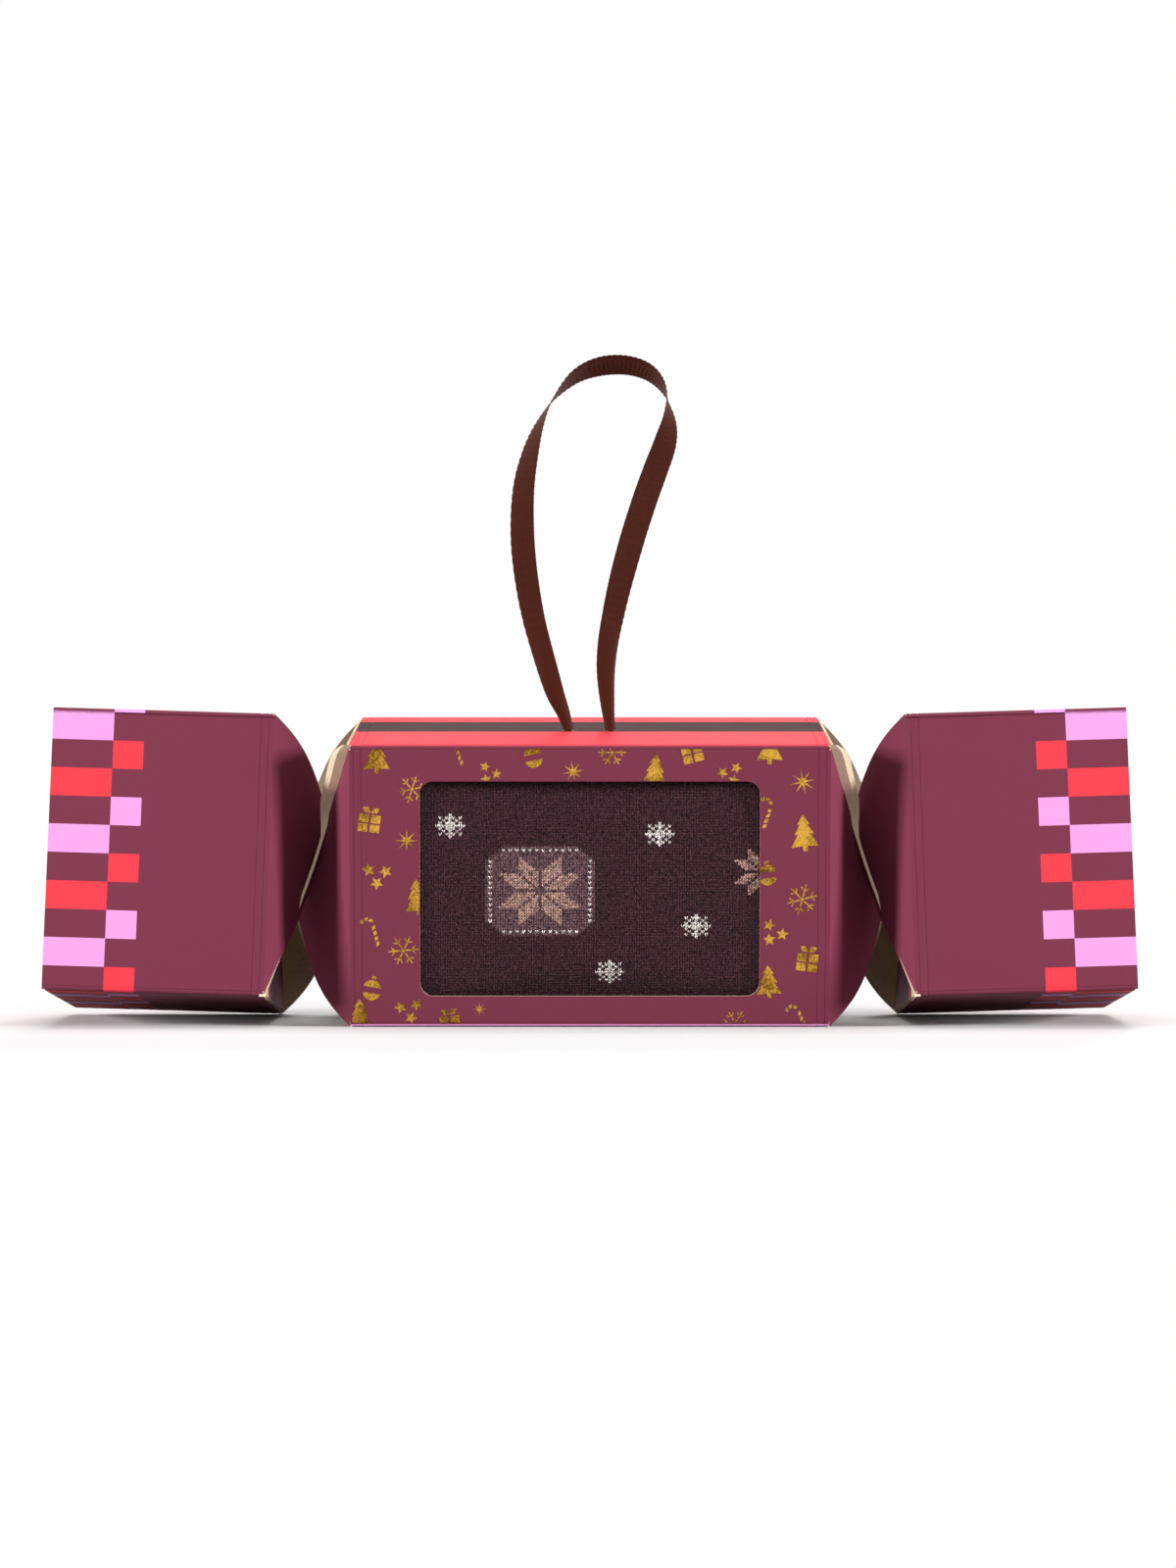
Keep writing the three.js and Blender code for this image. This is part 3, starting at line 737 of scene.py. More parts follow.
def crease_profile(sizes, breaks=()):
    """Points across a panel from one folded crease to the next: outer and inner place and depth."""
    radius, board, score_width = sizes.crease_radius, sizes.board, 0.25 * MM
    place = sizes.side / 2 - radius
    profile = []
    for angle in np.radians((45, 33.75, 22.5, 11.25, 0)):
        outer = (place + radius * math.sin(angle), radius - radius * math.cos(angle))
        inner = (place + (radius - board) * math.sin(angle), radius - (radius - board) * math.cos(angle))
        profile.append((*outer, *inner))
    for step, depth in ((1, sizes.score_depth), (2, 0)):
        scored = place - step * score_width
        profile.append((scored, depth, scored, board))
    left = [(-a, b, -c, d) for a, b, c, d in profile]
    return [*left, *[(b, 0, b, board) for b in breaks], *profile[::-1]]


def tube_panel(name, side_name, sizes, stations, matrix, finish, breaks=()):
    """One side of a square tube. Stations are the places along it and the depth of a scored line there."""
    facing, across = (Vector(v) for v in TUBE_SIDES[side_name][:2])
    half = sizes.side / 2
    profile = crease_profile(sizes, breaks)
    outer, inner = [], []
    for x, dip in stations:
        start = Vector((x, 0, 0))
        outer.append([matrix @ (start + across * p[0] + facing * (half - p[1] - dip)) for p in profile])
        inner.append([matrix @ (start + across * p[2] + facing * (half - p[3])) for p in profile])

    def at(i, j):
        return finish((stations[i][0] + stations[i + 1][0]) / 2, (profile[j][0] + profile[j + 1][0]) / 2)

    shape = Shape()
    shape.add_wall(outer, inner, at)
    return shape.object(name, sharp=BOARD_SHARP)


def scored_stations(start, stop, sizes, both=True):
    """Places along a tube with scored lines near the crease at its start, and at its stop too if both."""
    width, first, second = 0.32 * MM, 1.2 * MM, 3.3 * MM
    way = 1 if stop > start else -1
    scores = [start + way * first, start + way * second]
    if both:
        scores += [stop - way * second, stop - way * first]
    stations = [(start, 0)]
    for x in scores:
        stations += [(x - way * width, 0), (x, sizes.score_depth), (x + way * width, 0)]
    return [*stations, (stop, 0)]


def glue_tab(word, start, stop, sizes, matrix):
    """The glued seam inside the back panel, cut back at a slant at both ends."""
    half, slant, clearance = sizes.side / 2, 3 * MM, 1.1 * MM
    low, high = -half + clearance, -half + sizes.glue_width
    start, stop = min(start, stop), max(start, stop)
    outline = [(start, low), (stop, low), (stop - slant, high), (start + slant, high)]
    upright = matrix @ Matrix.Rotation(math.pi / 2, 4, "X")
    face = -half + sizes.board + sizes.gap
    tab = plate(outline, face, face + sizes.board, upright).object(f"{word}_seam_tab")
    settle(tab, f"{word}_glue_tab")


class CRACKER_OT_centre_box(bpy.types.Operator):
    """Makes the centre box's four panels, with the window and the ribbon holes, and its glued seam"""

    bl_idname = "cracker.centre_box"
    bl_label = "Centre box"

    def execute(self, context):
        sizes, ribbon = context.scene.cracker_carton, context.scene.cracker_ribbon
        matrix = centre_frame(sizes)
        half, reach = sizes.side / 2, sizes.centre_length / 2
        band = (-24 * MM, 2.5 * MM)
        pink_edge = half - 0.8 * MM
        seam_clearance = 1 * MM
        ends = scored_stations(-reach, reach, sizes)
        through = (half - CUT, half + CUT)
        # Each hole has 24 corners
        holes = [arc((s * ribbon.spacing / 2, 0), ribbon.hole_radius, 0, 345, 23) for _, s in SIDES]
        cuts = {
            "front": [plate(window_outline(sizes), *through, front_frame(sizes))],
            "top": [plate(hole, *through, matrix) for hole in holes],
        }
        for side_name, slot, breaks, finish in (
            ("front", "plum_board", (), lambda x, s: PINK if s > pink_edge else PLUM),
            ("top", "red_board", band, lambda x, s: AUBERGINE if band[0] < s < band[1] else RED),
            ("back", "plum_board", (), lambda x, s: PLUM),
            ("bottom", "pink_board", (), lambda x, s: PINK),
        ):
            panel = tube_panel(f"centre_{side_name}_board", side_name, sizes, ends, matrix, finish, breaks)
            for shape in cuts.get(side_name, ()):
                cut_away(panel, shape, board_materials()[RAW])
            settle(panel, f"centre_{side_name}_panel")
        glue_tab("centre", seam_clearance - reach, reach - seam_clearance, sizes, matrix)
        return {"FINISHED"}


class CRACKER_OT_end_boxes(bpy.types.Operator):
    """Makes the panels and glued seams of both end boxes, with their printed checks"""

    bl_idname = "cracker.end_boxes"
    bl_label = "End boxes"

    def execute(self, context):
        sizes, checks = context.scene.cracker_carton, context.scene.cracker_checks
        lid_clearance, seam_clearance = 0.1 * MM, 1 * MM
        row = sizes.side / checks.rows
        first = -sizes.side / 2 + checks.offset
        breaks = [first + row * k for k in range(checks.rows)]
        length = sizes.end_length - sizes.board - sizes.gap
        outer_column = sizes.end_length - checks.outer_width
        inner_column = outer_column - checks.inner_width
        for word, side in SIDES:
            matrix = end_frame(sizes, side)
            for side_name, (_, _, first_row) in TUBE_SIDES.items():
                reach = length if side_name == "bottom" else sizes.end_length - lid_clearance
                stations = scored_stations(0, side * reach, sizes, both=False)
                stations[-1:-1] = [(side * inner_column, 0), (side * outer_column, 0)]

                def finish(x, s, first_row=first_row):
                    number = first_row + math.floor((s - first) / row)
                    outer = abs(x) > outer_column
                    if abs(x) < inner_column or number % 2 != outer:
                        return PLUM
                    red = 3 if outer else 2
                    return RED if number % 4 == red else PINK

                name = f"{word}_{side_name}_board"
                panel = tube_panel(name, side_name, sizes, stations, matrix, finish, breaks)
                settle(panel, f"{word}_{side_name}_panel")
            seam = length - 2 * (sizes.board + sizes.gap) - seam_clearance
            glue_tab(word, 0, side * seam, sizes, matrix)
        return {"FINISHED"}


class CRACKER_OT_closures(bpy.types.Operator):
    """Makes the lids with their tuck tabs, and the dust flaps"""

    bl_idname = "cracker.closures"
    bl_label = "Lids and flaps"

    def execute(self, context):
        sizes = context.scene.cracker_carton
        for word, side in SIDES:
            lid(word, side, sizes)
            tuck_tab(word, side, sizes)
            dust_flaps(word, side, sizes)
        return {"FINISHED"}


def lid(word, side, sizes):
    """The lid covers the box's end. Its edges are softened as a cut board's are."""
    clearance, corner, softening = 0.25 * MM, 0.5 * MM, 0.12 * MM
    width = sizes.side - 2 * (sizes.board + clearance)
    outline = rounded_rectangle(width, width, corner, 3)
    outward = frame_of((side * (sizes.end_length - sizes.board), 0, 0), (0, side, 0), (0, 0, 1))
    shape = plate(outline, sizes.board, 0, end_frame(sizes, side) @ outward, PLUM)
    board = shape.object(f"{word}_lid_board")
    bevel = board.modifiers.new("cut edge", "BEVEL")
    bevel.width = softening
    bevel.segments = 1
    bevel.limit_method = "ANGLE"
    bevel.harden_normals = False
    settle(applied(board), f"{word}_lid", f"{word}_lid")


def tuck_tab(word, side, sizes):
    """The tab goes in over the bottom panel, in one shallow curve."""
    clearance, corner, steps, columns = 1.2 * MM, 6 * MM, 8, 9
    layer = sizes.board + sizes.gap
    width = sizes.side - 2 * layer - 2 * (sizes.board + clearance)
    matrix = end_frame(sizes, side)
    outer, inner = [], []
    for t in np.linspace(0, 1, steps + 1):
        depth = sizes.tab_depth * t
        round_off = max(depth - (sizes.tab_depth - corner), 0)
        reach = width / 2 - corner + math.sqrt(corner**2 - round_off**2)
        x = sizes.end_length - layer - depth * math.cos(sizes.tab_lean)
        z = -sizes.side / 2 + layer + depth * math.sin(sizes.tab_lean) * (0.6 + 0.4 * t)
        across = np.linspace(-1, 1, columns) * reach
        for grid, height in ((outer, 0), (inner, sizes.board)):
            grid.append([matrix @ Vector((side * x, y, z + height)) for y in across])
    shape = Shape()
    shape.add_wall(outer, inner, lambda i, j: PLUM)
    settle(shape.object(f"{word}_tuck_board"), f"{word}_tuck_tab", f"{word}_lid")


def dust_flaps(word, side, sizes):
    top_clearance, bottom_clearance, taper, hinge_gap, corner = 1.5 * MM, 5 * MM, 5 * MM, 0.5 * MM, 2.5 * MM
    half, free = sizes.side / 2, sizes.dust_width - corner
    top = half - sizes.board - top_clearance
    bottom = -half + sizes.board + bottom_clearance
    outline = [(0, bottom), (free, bottom + taper)]
    outline += arc((free, bottom + taper + corner), corner, -70, 0, 4)
    outline += arc((free, top - taper - corner), corner, 0, 70, 4)
    outline += [(free, top - taper), (0, top)]
    for place, back in (("front", -1), ("back", 1)):
        seam = sizes.board + sizes.gap if back > 0 else 0
        x = side * (sizes.end_length - sizes.board - sizes.gap - sizes.board / 2)
        origin = (x, back * (half - sizes.board - hinge_gap - seam), 0)
        facing = end_frame(sizes, side) @ frame_of(origin, (0, -back, 0), (0, 0, 1))
        outside = sizes.board / 2 * (-back * side)
        stem = f"{word}_{place}_dust"
        flap = plate(outline, outside, -outside, facing, PLUM).object(f"{stem}_board")
        settle(flap, f"{stem}_flap", f"{stem}_flap")


# Necks

class CRACKER_OT_necks(bpy.types.Operator):
    """Makes the pinched necks: a front and a back strip each side, and the half-round closing flaps"""

    bl_idname = "cracker.necks"
    bl_label = "Necks"

    def execute(self, context):
        sizes = context.scene.cracker_carton
        for word, side in SIDES:
            for place, back in (("front", -1), ("back", 1)):
                neck_strip(f"{word}_{place}", side, back, sizes)
            crease = side * sizes.centre_length / 2
            closing_flaps(f"centre_{word}", centre_frame(sizes), crease, side, sizes)
            closing_flaps(word, end_frame(sizes, side), 0, -side, sizes)
        return {"FINISHED"}


def neck_strip(prefix, side, back, sizes):
    """Two D-shaped halves that meet in the slanting fold at the waist."""
    steps, columns = 18, 28
    half = sizes.side / 2
    swell_along, swell_out, swell_up = 1.6 * MM, 1.6 * MM, 3 * MM
    slant = sizes.neck_length * sizes.waist_height / sizes.side
    middle_x = sizes.centre_length / 2 + sizes.neck_length / 2

    def fold(v):
        x = side * (middle_x - slant * (v - 0.5))
        out = sizes.waist_depth / 2 + sizes.waist_spread * (2 * v - 1) ** 2
        return Vector((x, back * out, axis_height(sizes) - back * sizes.waist_height * (v - 0.5)))

    near, far = [], []
    for rows, matrix, crease_x, sign in (
        (near, centre_frame(sizes), side * sizes.centre_length / 2, -1),
        (far, end_frame(sizes, side), 0, 1),
    ):
        for u in np.linspace(0, 1, steps + 1):
            row = []
            for v in np.linspace(0, 1, columns + 1):
                swell = math.sin(math.pi * u) * (v if sign > 0 else 1 - v) ** 2
                crease = matrix @ Vector((crease_x, back * half, -back * half * (2 * v - 1)))
                point = crease.lerp(fold(v), u)
                point.x -= side * sign * swell * swell_along
                point.y += back * swell * swell_out
                point.z -= back * sign * swell * swell_up
                row.append(point)
            rows.append(row)
    outer = [*near, *far[::-1][1:]]
    last = len(outer) - 1
    inner = []
    for i, row in enumerate(outer):
        inner.append([])
        for j, point in enumerate(row):
            along = outer[min(i + 1, last)][j] - outer[max(i - 1, 0)][j]
            across = row[min(j + 1, columns)] - row[max(j - 1, 0)]
            inner[i].append(point - along.cross(across).normalized() * sizes.board * side)
    shape = Shape()
    shape.add_wall(outer, inner, lambda i, j: PLUM)
    add_turned_lip(shape, side, back, near, far)
    settle(shape.object(f"{prefix}_neck_board", sharp=26), f"{prefix}_neck_strip")


def add_turned_lip(shape, side, back, near, far):
    """The raw board that the strip's straight edges show along the neck's diagonal."""
    low = near[-1][0] + Vector((side * 1.5 * MM, back * 0.5 * MM, 0))
    middle = near[-1][len(near[-1]) // 2] + Vector((side * 0.5 * MM, back * 5 * MM, 0))
    halfway = near[0][-1].lerp(near[-1][-1], 0.5)
    path = [near[0][-1], halfway, near[-1][-1], middle, low, low.lerp(far[0][0], 0.5), far[0][0]]
    path = [Vector(p) for p in smooth_path(path, 8)]
    shares = np.linspace(0, 1, len(path))
    marks = (0, 0.02, 0.05, 0.33, 0.4, 0.9, 0.97, 1)
    lips = np.interp(shares, marks, (1.8, 2.7, 3.0, 2.4, 0.8, 0.8, 2.2, 1.6))
    returns = np.interp(shares, (0, 0.02, 0.06, 0.26, 0.34, 1), (0.4, 1.1, 1.7, 1.4, 0.05, 0.05))
    out, across = Vector((0, back, 0)), Vector((side, 0, 0))
    overlap, thickness, steepness = 0.5 * MM, 0.45 * MM, 0.8
    front_grid, rear_grid = [], []
    for point, lip, turned_back in zip(path, lips * MM, returns * MM):
        left = point - across * overlap + out * overlap
        middle = left + across * lip
        right = middle + across * turned_back - out * turned_back * steepness
        front_grid.append([left, middle, right])
        rear_grid.append([p - out * thickness for p in (left, middle, right)])
    shape.add_wall(front_grid, rear_grid, lambda i, j: RAW)


def closing_flaps(prefix, matrix, x, side, sizes):
    angles = np.linspace(0, math.pi, 33)
    outline = [(sizes.flap_width / 2 * math.cos(a), sizes.flap_depth * math.sin(a)) for a in angles]
    for word, up in (("top", 1), ("bottom", -1)):
        origin = (x + side * (sizes.gap + sizes.board / 2), 0, up * (sizes.side / 2 - sizes.board / 2))
        hinge = Matrix.Translation(origin) @ Matrix.Rotation(up * side * sizes.flap_lean, 4, "Y")
        outside = sizes.board / 2 * (-up * side)
        facing = matrix @ hinge @ frame_of((0, 0, 0), (0, 1, 0), (0, 0, -up))
        shape = plate(outline, outside, -outside, facing, PLUM)
        name = f"{prefix}_{word}_closing"
        settle(shape.object(f"{name}_board"), f"{name}_flap")


# Foil ornaments, each as outlines in mm

def star_outline(points, outer, inner):
    angles = [math.pi / 2 + math.pi * k / points for k in range(2 * points)]
    radii = (outer, inner) * points
    return [(r * math.cos(a), r * math.sin(a)) for r, a in zip(radii, angles)]


def box_outline(x0, y0, x1, y1):
    return [(x0, y0), (x1, y0), (x1, y1), (x0, y1)]


def turned(outline, degrees, move=(0, 0)):
    c, s = math.cos(math.radians(degrees)), math.sin(math.radians(degrees))
    return [(x * c - y * s + move[0], x * s + y * c + move[1]) for x, y in outline]


def fir_tree():
    right = [(0, 5.8), (1.7, 3.2), (0.9, 3.4), (2.6, 0.6), (1.6, 0.9), (3.6, -2.6), (0.6, -2.3), (0.6, -3.7)]
    return [[*right, *[(-x, y) for x, y in right[:0:-1]]]]


def present():
    boxes = [box_outline(sx * 0.3, sy, sx * 2.9, sy + 2.2) for sx in (-1, 1) for sy in (-3.2, -0.6)]
    return boxes + [[(0, 2.1), (sx * 0.8, 3.6), (sx * 2.3, 3.5), (sx * 1.7, 2.1)] for sx in (-1, 1)]


def snowflake():
    parts = [arc((0, 0), 0.55, 0, 300, 5)]
    for k in range(6):
        parts.append(turned(box_outline(0.75, -0.2, 4.2, 0.2), 60 * k))
        for lean in (50, -50):
            barb = turned(box_outline(0.35, -0.17, 1.5, 0.17), lean, (2.3, 0))
            parts.append(turned(barb, 60 * k))
    return parts


def candy_cane():
    parts = [[(-0.45, y), (0.45, y + 0.5), (0.45, y + 1.5), (-0.45, y + 1)] for y in (-5, -3.5, -2, -0.5)]
    for a in (15, 65, 115):
        parts.append([*arc((-1.6, 1.4), 2.05, a, a + 34, 3), *arc((-1.6, 1.4), 1.15, a + 44, a + 10, 3)])
    return parts


def bauble():
    ball = [arc((0, -0.6), 2.5, 12, 168, 10), arc((0, -1.2), 2.5, 192, 348, 10)]
    return [*ball, box_outline(-0.6, 2.2, 0.6, 3.0)]


def star_group():
    places = ((-2, 1.4), (2.2, 0.2), (-0.6, -2.4))
    return [turned(star_outline(5, 1.8, 0.8), 12 * k, move) for k, move in enumerate(places)]


def burst():
    return [star_outline(8, 3.3, 0.75)]


ORNAMENTS = (fir_tree, present, snowflake, candy_cane, bauble, star_group, burst)
TREE, PRESENT, SNOWFLAKE, CANE, BAUBLE, STARS, BURST = range(7)
# Place on the front panel in mm, which ornament, degrees turned and scale
FOIL_LAYOUT = (
    (-57.5, 34.5, TREE, 0, 1.0), (-48, 26.5, SNOWFLAKE, 12, 0.9), (-59.5, 18, PRESENT, -8, 1.0),
    (-49.5, 12.5, BURST, 0, 1.0), (-57.5, 3.5, STARS, 10, 1.05), (-46.5, -4, TREE, 6, 1.05),
    (-58.5, -11.5, CANE, 14, 1.0), (-50.5, -17.5, SNOWFLAKE, 5, 1.0), (-59, -27.5, BAUBLE, -10, 1.0),
    (-49, -33.5, STARS, 25, 1.0), (-36, 37.5, CANE, 20, 0.95), (-27, 31, STARS, -15, 0.85),
    (-15.5, 36, BAUBLE, 12, 1.0), (-4.5, 31.2, BURST, 10, 0.9), (6, 36.5, SNOWFLAKE, 0, 0.9),
    (17.5, 30.5, TREE, -5, 0.95), (27.5, 36.8, PRESENT, 14, 0.95), (38, 31, STARS, 35, 0.9),
    (48.5, 37, TREE, 0, 1.0), (57.5, 28.5, BURST, 12, 1.05), (48.5, 20.5, CANE, -18, 1.0),
    (58, 13.5, TREE, 5, 1.05), (48, 4, BAUBLE, 6, 1.0), (57.5, -3.5, SNOWFLAKE, 15, 1.0),
    (50, -12.5, STARS, -20, 1.0), (59, -20, PRESENT, -6, 1.0), (48.5, -27, TREE, 3, 0.95),
    (57, -35, CANE, 24, 1.0), (-38, -37, PRESENT, 6, 0.95), (39.5, -37.5, SNOWFLAKE, 0, 0.9),
    (-30, -33.6, BURST, 0, 0.6), (-62.5, -36, TREE, 0, 0.9),
)


def ornament_mesh(name, parts, material):
    """A thin stamped ornament lying in the xy plane."""
    film = 0.035 * MM
    shape = Shape()
    for outline in parts:
        shape.add_plate([(x * MM, y * MM) for x, y in outline], film, 0, Matrix(), 0)
    return shape.mesh(name, [material])


def new_tree(name, **sockets):
    """An empty Geometry Nodes group with a geometry in and out, and the named inputs."""
    tree = bpy.data.node_groups.new(name, "GeometryNodeTree")
    tree.interface.new_socket("Geometry", in_out="OUTPUT", socket_type="NodeSocketGeometry")
    for socket_name, kind in {"Geometry": "Geometry", **sockets}.items():
        tree.interface.new_socket(socket_name, in_out="INPUT", socket_type=f"NodeSocket{kind}")
    return tree, add_node(tree, "NodeGroupInput").outputs


def end_tree(tree, instances, material, **move):
    """Makes the instances real, moves them and gives them their material."""
    real = add_node(tree, "GeometryNodeRealizeInstances", {"Geometry": instances})
    moved = add_node(tree, "GeometryNodeTransform", {"Geometry": real, **move})
    finished = add_node(tree, "GeometryNodeSetMaterial", {"Geometry": moved, "Material": material})
    add_node(tree, "NodeGroupOutput", {0: finished})
    return tree


def run_tree(obj, tree, values):
    """Runs a Geometry Nodes group on the object and keeps its plain mesh."""
    modifier = obj.modifiers.new(tree.name, "NODES")
    modifier.node_group = tree
    for item in tree.interface.items_tree:
        if item.in_out == "INPUT" and item.name in values:
            modifier[item.identifier] = values[item.name]
    return applied(obj)


def point_mesh(name, points, **attributes):
    """Loose points with attributes, given as (kind, values)."""
    mesh = bpy.data.meshes.new(name)
    mesh.from_pydata([tuple(p) for p in points], [], [])
    for key, (kind, values) in attributes.items():
        layer = mesh.attributes.new(key, kind, "POINT")
        layer.data.foreach_set("color" if kind == "FLOAT_COLOR" else "value", np.ravel(values))
    return mesh


class CRACKER_OT_foil(bpy.types.Operator):
    """Stamps the gold ornaments round the window"""

    bl_idname = "cracker.foil"
    bl_label = "Foil ornaments"

    def execute(self, context):
        sizes, inks = context.scene.cracker_carton, context.scene.cracker_print
        foil = stamped_foil(inks.foil, inks.foil_painted_shade)
        collection = bpy.data.collections.new("foil_ornaments")
        masters = []
        for k, make in enumerate(ORNAMENTS):
            mesh = ornament_mesh(f"{k}_ornament", make(), foil)
            masters.append(bpy.data.objects.new(mesh.name, mesh))
            collection.objects.link(masters[-1])
        layout = np.array(FOIL_LAYOUT)
        mesh = point_mesh(
            "foil_ornaments",
            [(x * MM, y * MM, 0) for x, y in layout[:, :2]],
            which=("INT", layout[:, 2].astype(int)),
            turn=("FLOAT", np.radians(layout[:, 3])),
            size=("FLOAT", layout[:, 4]),
        )
        obj = new_object("foil_ornaments", mesh)
        half, upright = sizes.side / 2, front_frame(sizes)
        front = upright @ Matrix.Translation((0, 0, half))
        values = {"Ornaments": collection, "Place": front.to_translation(), "Lean": front.to_euler()}
        run_tree(obj, stamping_tree(), {**values, "Foil": foil})
        end_margin, crease_margin, window_margin, corner = 0.5 * MM, 1.1 * MM, 0.15 * MM, 0.5 * MM
        width, height = sizes.centre_length - 2 * end_margin, sizes.side - 2 * crease_margin
        outline = rounded_rectangle(width, height, corner, 2)
        stencil = plate(outline, half - CUT, half + CUT, upright).object("stencil", [foil])
        window = plate(window_outline(sizes, window_margin), half - CUT - MM, half + CUT + MM, upright)
        cut_away(stencil, window, foil)
        trim(obj, stencil, "INTERSECT")
        for master in masters:
            discard(master)
        bpy.data.collections.remove(collection)
        settle(obj)
        return {"FINISHED"}


def stamping_tree():
    """Puts the chosen ornament at each point."""
    sockets = {"Ornaments": "Collection", "Place": "Vector", "Lean": "Vector", "Foil": "Material"}
    tree, given = new_tree("stamp_ornaments", **sockets)
    source = {"Collection": given["Ornaments"], "Separate Children": True, "Reset Children": True}
    picked = add_node(tree, "GeometryNodeCollectionInfo", source)
    which, turn, size = (
        add_node(tree, "GeometryNodeInputNamedAttribute", {"Name": name}, data_type=kind)
        for name, kind in (("which", "INT"), ("turn", "FLOAT"), ("size", "FLOAT"))
    )
    rotation = add_node(tree, "ShaderNodeCombineXYZ", {"Z": turn})
    stamps = {"Points": given["Geometry"], "Instance": picked, "Pick Instance": True, "Instance Index": which}
    stamps.update({"Rotation": rotation, "Scale": size})
    placed = add_node(tree, "GeometryNodeInstanceOnPoints", stamps)
    return end_tree(tree, placed, given["Foil"], Translation=given["Place"], Rotation=given["Lean"])


# Socks

class CRACKER_OT_socks(bpy.types.Operator):
    """Makes the two folded socks, and the knitted stitches that show in the window"""

    bl_idname = "cracker.socks"
    bl_label = "Socks"

    def execute(self, context):
        sizes, sock = context.scene.cracker_carton, context.scene.cracker_sock
        ground = jersey(sock)
        bodies = {name: folded_sock(name, sock, ground) for name in ("front_sock", "back_sock")}
        knitted_stitches(sizes, sock, bodies["front_sock"])
        for name, obj in bodies.items():
            settle(obj, name)
        return {"FINISHED"}


def folded_sock(name, sock, ground):
    """Swells the sock's plain solid with a short cloth simulation, and keeps it in its space."""
    merging, fineness, pressure, last_frame = 0.01 * MM, 3.4 * MM, 4, 15
    obj = new_object(f"{name}_folded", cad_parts[name].data.copy())
    obj.data.materials.clear()
    obj.data.materials.append(ground)
    obj.modifiers.new("weld", "WELD").merge_threshold = merging
    remesh = obj.modifiers.new("remesh", "REMESH")
    remesh.mode = "VOXEL"
    remesh.voxel_size = fineness
    rest = np.array([v.co for v in applied(obj).data.vertices])
    cloth = obj.modifiers.new("cloth", "CLOTH").settings
    cloth.use_pressure = True
    cloth.uniform_pressure_force = pressure
    cloth.effector_weights.gravity = 0
    scene = bpy.context.scene
    for step in range(1, last_frame + 1):
        scene.frame_set(step)
    moved = np.array([v.co for v in applied(obj).data.vertices]) - rest
    scene.frame_set(1)
    far = np.linalg.norm(moved, axis=1)[:, None]
    moved *= np.minimum(1, sock.puff / np.maximum(far, 1e-9))
    obj.data.vertices.foreach_set("co", (rest + moved).ravel())
    finer = obj.modifiers.new("finer", "SUBSURF")
    finer.levels = finer.render_levels = 1
    turn_outwards(applied(obj).data)
    obj.data.shade_smooth()
    return obj


def knitted_stitches(sizes, sock, body):
    """A stitch on each place of the knitting grid behind the window, laid on the sock's face."""
    margin = 3 * MM
    columns = int((sizes.window_width / 2 + margin) / sock.stitch_width)
    rows = int((sizes.window_height / 2 + margin) / sock.stitch_height)
    grid = [(i, j) for j in range(-rows, rows + 1) for i in range(-columns, columns + 1)]
    yarns = [tuple(c) for c in (sock.dark, sock.brown, sock.taupe, sock.cream)]
    places = [(i * sock.stitch_width, j * sock.stitch_height - sizes.window_drop, 0) for i, j in grid]
    colours = [yarns[stitch_yarn(i, j)] for i, j in grid]
    mesh = point_mesh("front_sock_stitches", places, yarn=("FLOAT_COLOR", colours))
    upright = front_frame(sizes)
    mesh.transform(upright @ Matrix.Translation((0, 0, sizes.side / 2)))
    obj = new_object("front_sock_stitches", mesh)
    thread = dyed_yarn()
    stitch = bpy.data.objects.new("stitch", stitch_mesh(sock, thread))
    values = {"Stitch": stitch, "Sock": body, "Yarn": thread, "Seed": sock.seed}
    values["Inward"] = upright.to_3x3() @ Vector((0, 0, -1))
    values["Lean"] = upright.to_euler()
    run_tree(obj, knitting_tree(), values)
    discard(stitch)
    settle(obj)


def stitch_mesh(sock, thread):
    """Both legs of one V, as two ridged leaves of yarn."""
    wide, high = sock.stitch_width, sock.stitch_height
    corners, faces = [], []
    ridge = Vector((0, 0, 0.36 * wide))
    for side in (-1, 1):
        start = Vector((side * 0.03 * wide, -0.62 * high, 0))
        end = Vector((side * 0.47 * wide, 0.72 * high, 0))
        along = (end - start).normalized()
        aside = Vector((-along.y, along.x, 0)) * 0.19 * wide
        first, second = start.lerp(end, 0.3), start.lerp(end, 0.72)
        base = len(corners)
        corners += [start, first + aside, second + aside, end, second - aside, first - aside]
        corners += [first + ridge, second + ridge]
        for face in ((0, 6, 1), (1, 6, 7, 2), (2, 7, 3), (3, 7, 4), (4, 7, 6, 5), (5, 6, 0)):
            faces.append([base + k for k in face])
    mesh = bpy.data.meshes.new("stitch")
    mesh.from_pydata(corners, [], faces)
    mesh.materials.append(thread)
    if mesh.polygons[0].normal.z < 0:
        mesh.flip_normals()
    mesh.shade_smooth()
    return mesh


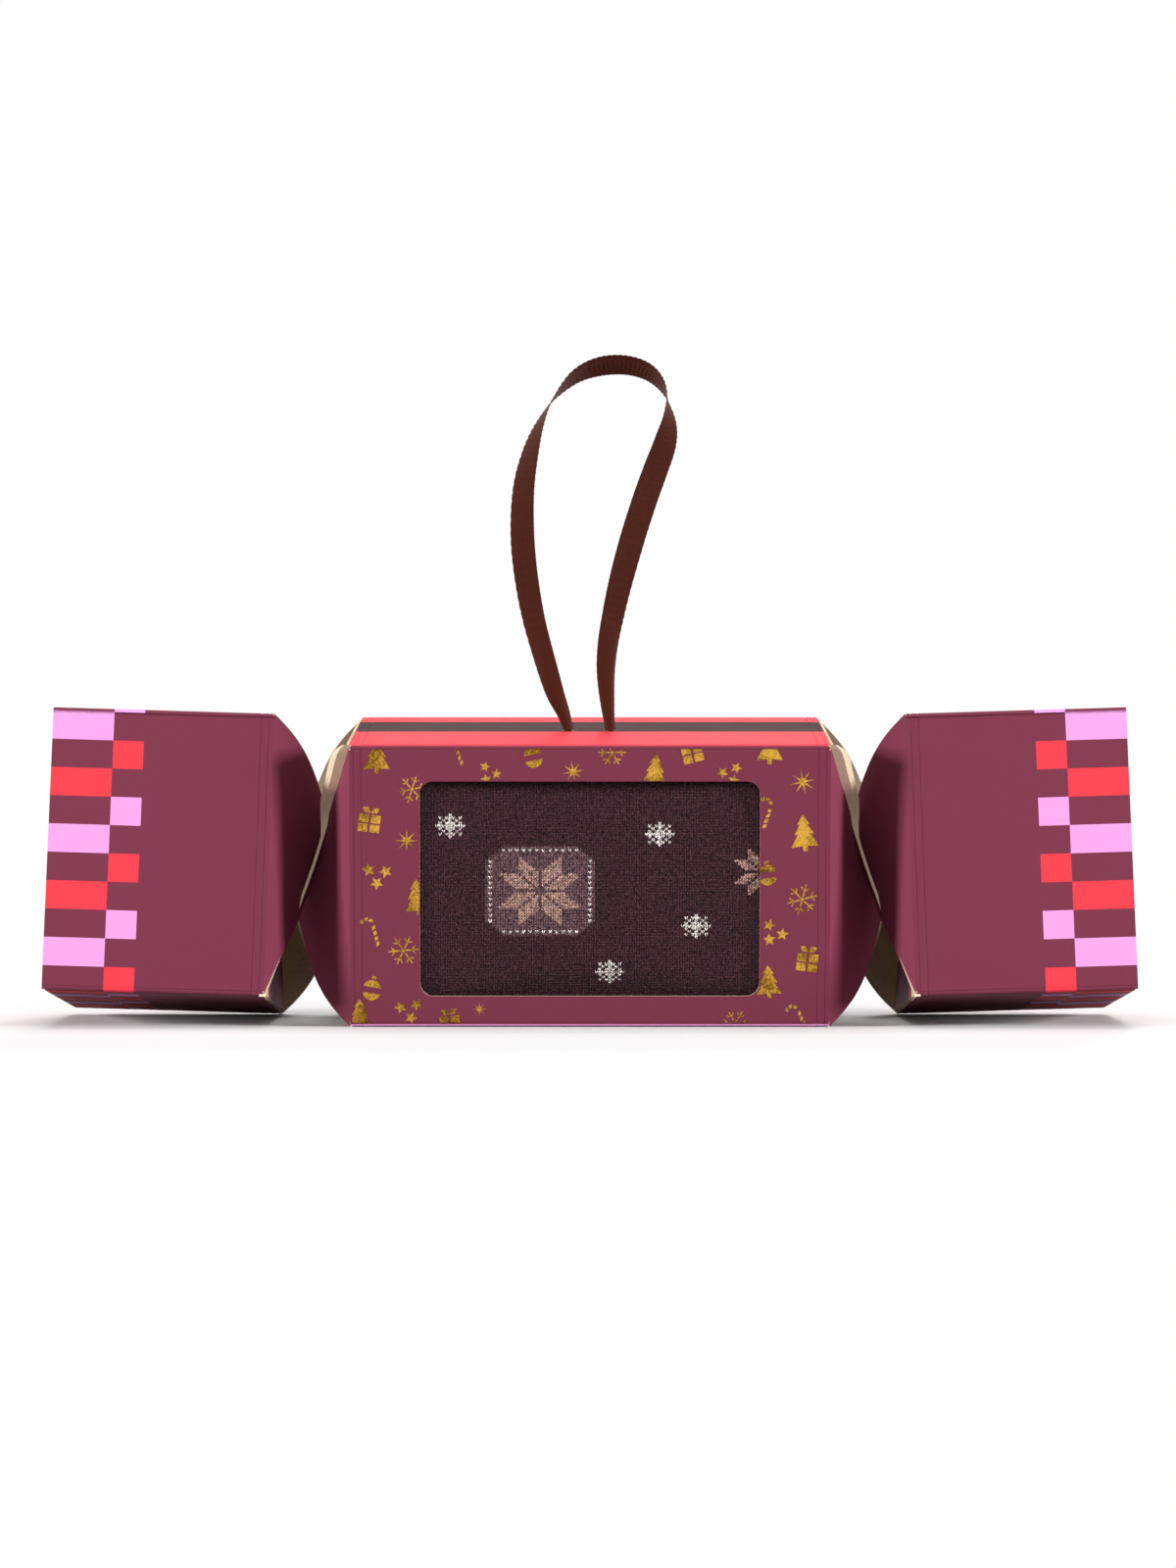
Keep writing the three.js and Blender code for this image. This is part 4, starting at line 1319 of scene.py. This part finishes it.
def knitting_tree():
    """Drops each point onto the sock and puts a stitch there."""
    drop_reach, smallest, largest = 12 * MM, 0.9, 1.1
    sockets = {"Stitch": "Object", "Sock": "Object", "Inward": "Vector", "Lean": "Vector", "Yarn": "Material"}
    tree, given = new_tree("knit_stitches", **sockets, Seed="Int")
    sock = add_node(tree, "GeometryNodeObjectInfo", {"Object": given["Sock"]}, transform_space="RELATIVE")
    stitch = add_node(tree, "GeometryNodeObjectInfo", {"Object": given["Stitch"]})
    drop = {"Target Geometry": sock.outputs["Geometry"], "Ray Direction": given["Inward"]}
    hit = add_node(tree, "GeometryNodeRaycast", {**drop, "Ray Length": drop_reach}).outputs
    landing = {"Geometry": given["Geometry"], "Selection": hit["Is Hit"], "Position": hit["Hit Position"]}
    laid = add_node(tree, "GeometryNodeSetPosition", landing)
    spread = {2: smallest, 3: largest, "Seed": given["Seed"]}
    uneven = add_node(tree, "FunctionNodeRandomValue", spread, data_type="FLOAT").outputs[1]
    stitches = {"Points": laid, "Instance": stitch.outputs["Geometry"], "Rotation": given["Lean"]}
    placed = add_node(tree, "GeometryNodeInstanceOnPoints", {**stitches, "Scale": uneven})
    return end_tree(tree, placed, given["Yarn"])


def star_stitch(i, j, reach):
    """True inside a traditional eight-point knitted star of that reach."""
    a, b = max(abs(i), abs(j)), min(abs(i), abs(j))
    return 0 < b <= reach // 2 and a - b <= reach // 2 and a != b


def flake_stitch(i, j):
    """True inside a small knitted snowflake."""
    a, b = max(abs(i), abs(j)), min(abs(i), abs(j))
    return a <= 4 and (b == 0 or (a == b and a <= 3) or (a == 3 and b == 1))


def stitch_yarn(i, j):
    """The yarn of the stitch in column i and row j, counted from the window's middle."""
    x, y = i + 15, j + 1
    if max(abs(x), abs(y)) <= 16 and abs(x) + abs(y) <= 27:
        if star_stitch(x, y, 12):
            return TAUPE
        return CREAM if max(abs(x), abs(y)) == 15 and (x + y) % 2 == 0 else BROWN
    if any(flake_stitch(i - fx, j - fy) for fx, fy in ((21, 20), (32, -14), (-42, 23), (6, -31))):
        return CREAM
    return TAUPE if star_stitch(i - 52, j - 6, 8) else DARK


class CRACKER_PT_panel(bpy.types.Panel):
    """Lists the carton's pieces"""

    bl_idname = "CRACKER_PT_panel"
    bl_label = "Cracker carton"
    bl_space_type = "VIEW_3D"
    bl_region_type = "UI"
    bl_category = "Cracker"

    def draw(self, context):
        for operator in OPERATORS:
            self.layout.operator(operator.bl_idname)
        for key in SETTINGS:
            group = getattr(context.scene, key)
            box = self.layout.box()
            for name in group.bl_rna.properties.keys():
                if name not in ("rna_type", "name"):
                    box.prop(group, name)


OPERATORS = (
    CRACKER_OT_stage,
    CRACKER_OT_ribbon,
    CRACKER_OT_centre_box,
    CRACKER_OT_end_boxes,
    CRACKER_OT_closures,
    CRACKER_OT_necks,
    CRACKER_OT_foil,
    CRACKER_OT_socks,
)
SETTINGS = {
    "cracker_carton": CartonSizes,
    "cracker_print": PrintColours,
    "cracker_checks": CheckSizes,
    "cracker_sock": SockSettings,
    "cracker_ribbon": RibbonSizes,
    "cracker_studio": StudioSettings,
}


def register():
    for group in (*SETTINGS.values(), *OPERATORS, CRACKER_PT_panel):
        bpy.utils.register_class(group)
    for key, group in SETTINGS.items():
        setattr(bpy.types.Scene, key, PointerProperty(type=group))


def unregister():
    for key in SETTINGS:
        delattr(bpy.types.Scene, key)
    for group in reversed((*SETTINGS.values(), *OPERATORS, CRACKER_PT_panel)):
        bpy.utils.unregister_class(group)


def main():
    register()
    bpy.ops.cracker.stage()
    bpy.ops.cracker.ribbon()
    bpy.ops.cracker.centre_box()
    bpy.ops.cracker.end_boxes()
    bpy.ops.cracker.closures()
    bpy.ops.cracker.necks()
    bpy.ops.cracker.foil()
    bpy.ops.cracker.socks()


if __name__ == "__main__":
    main()
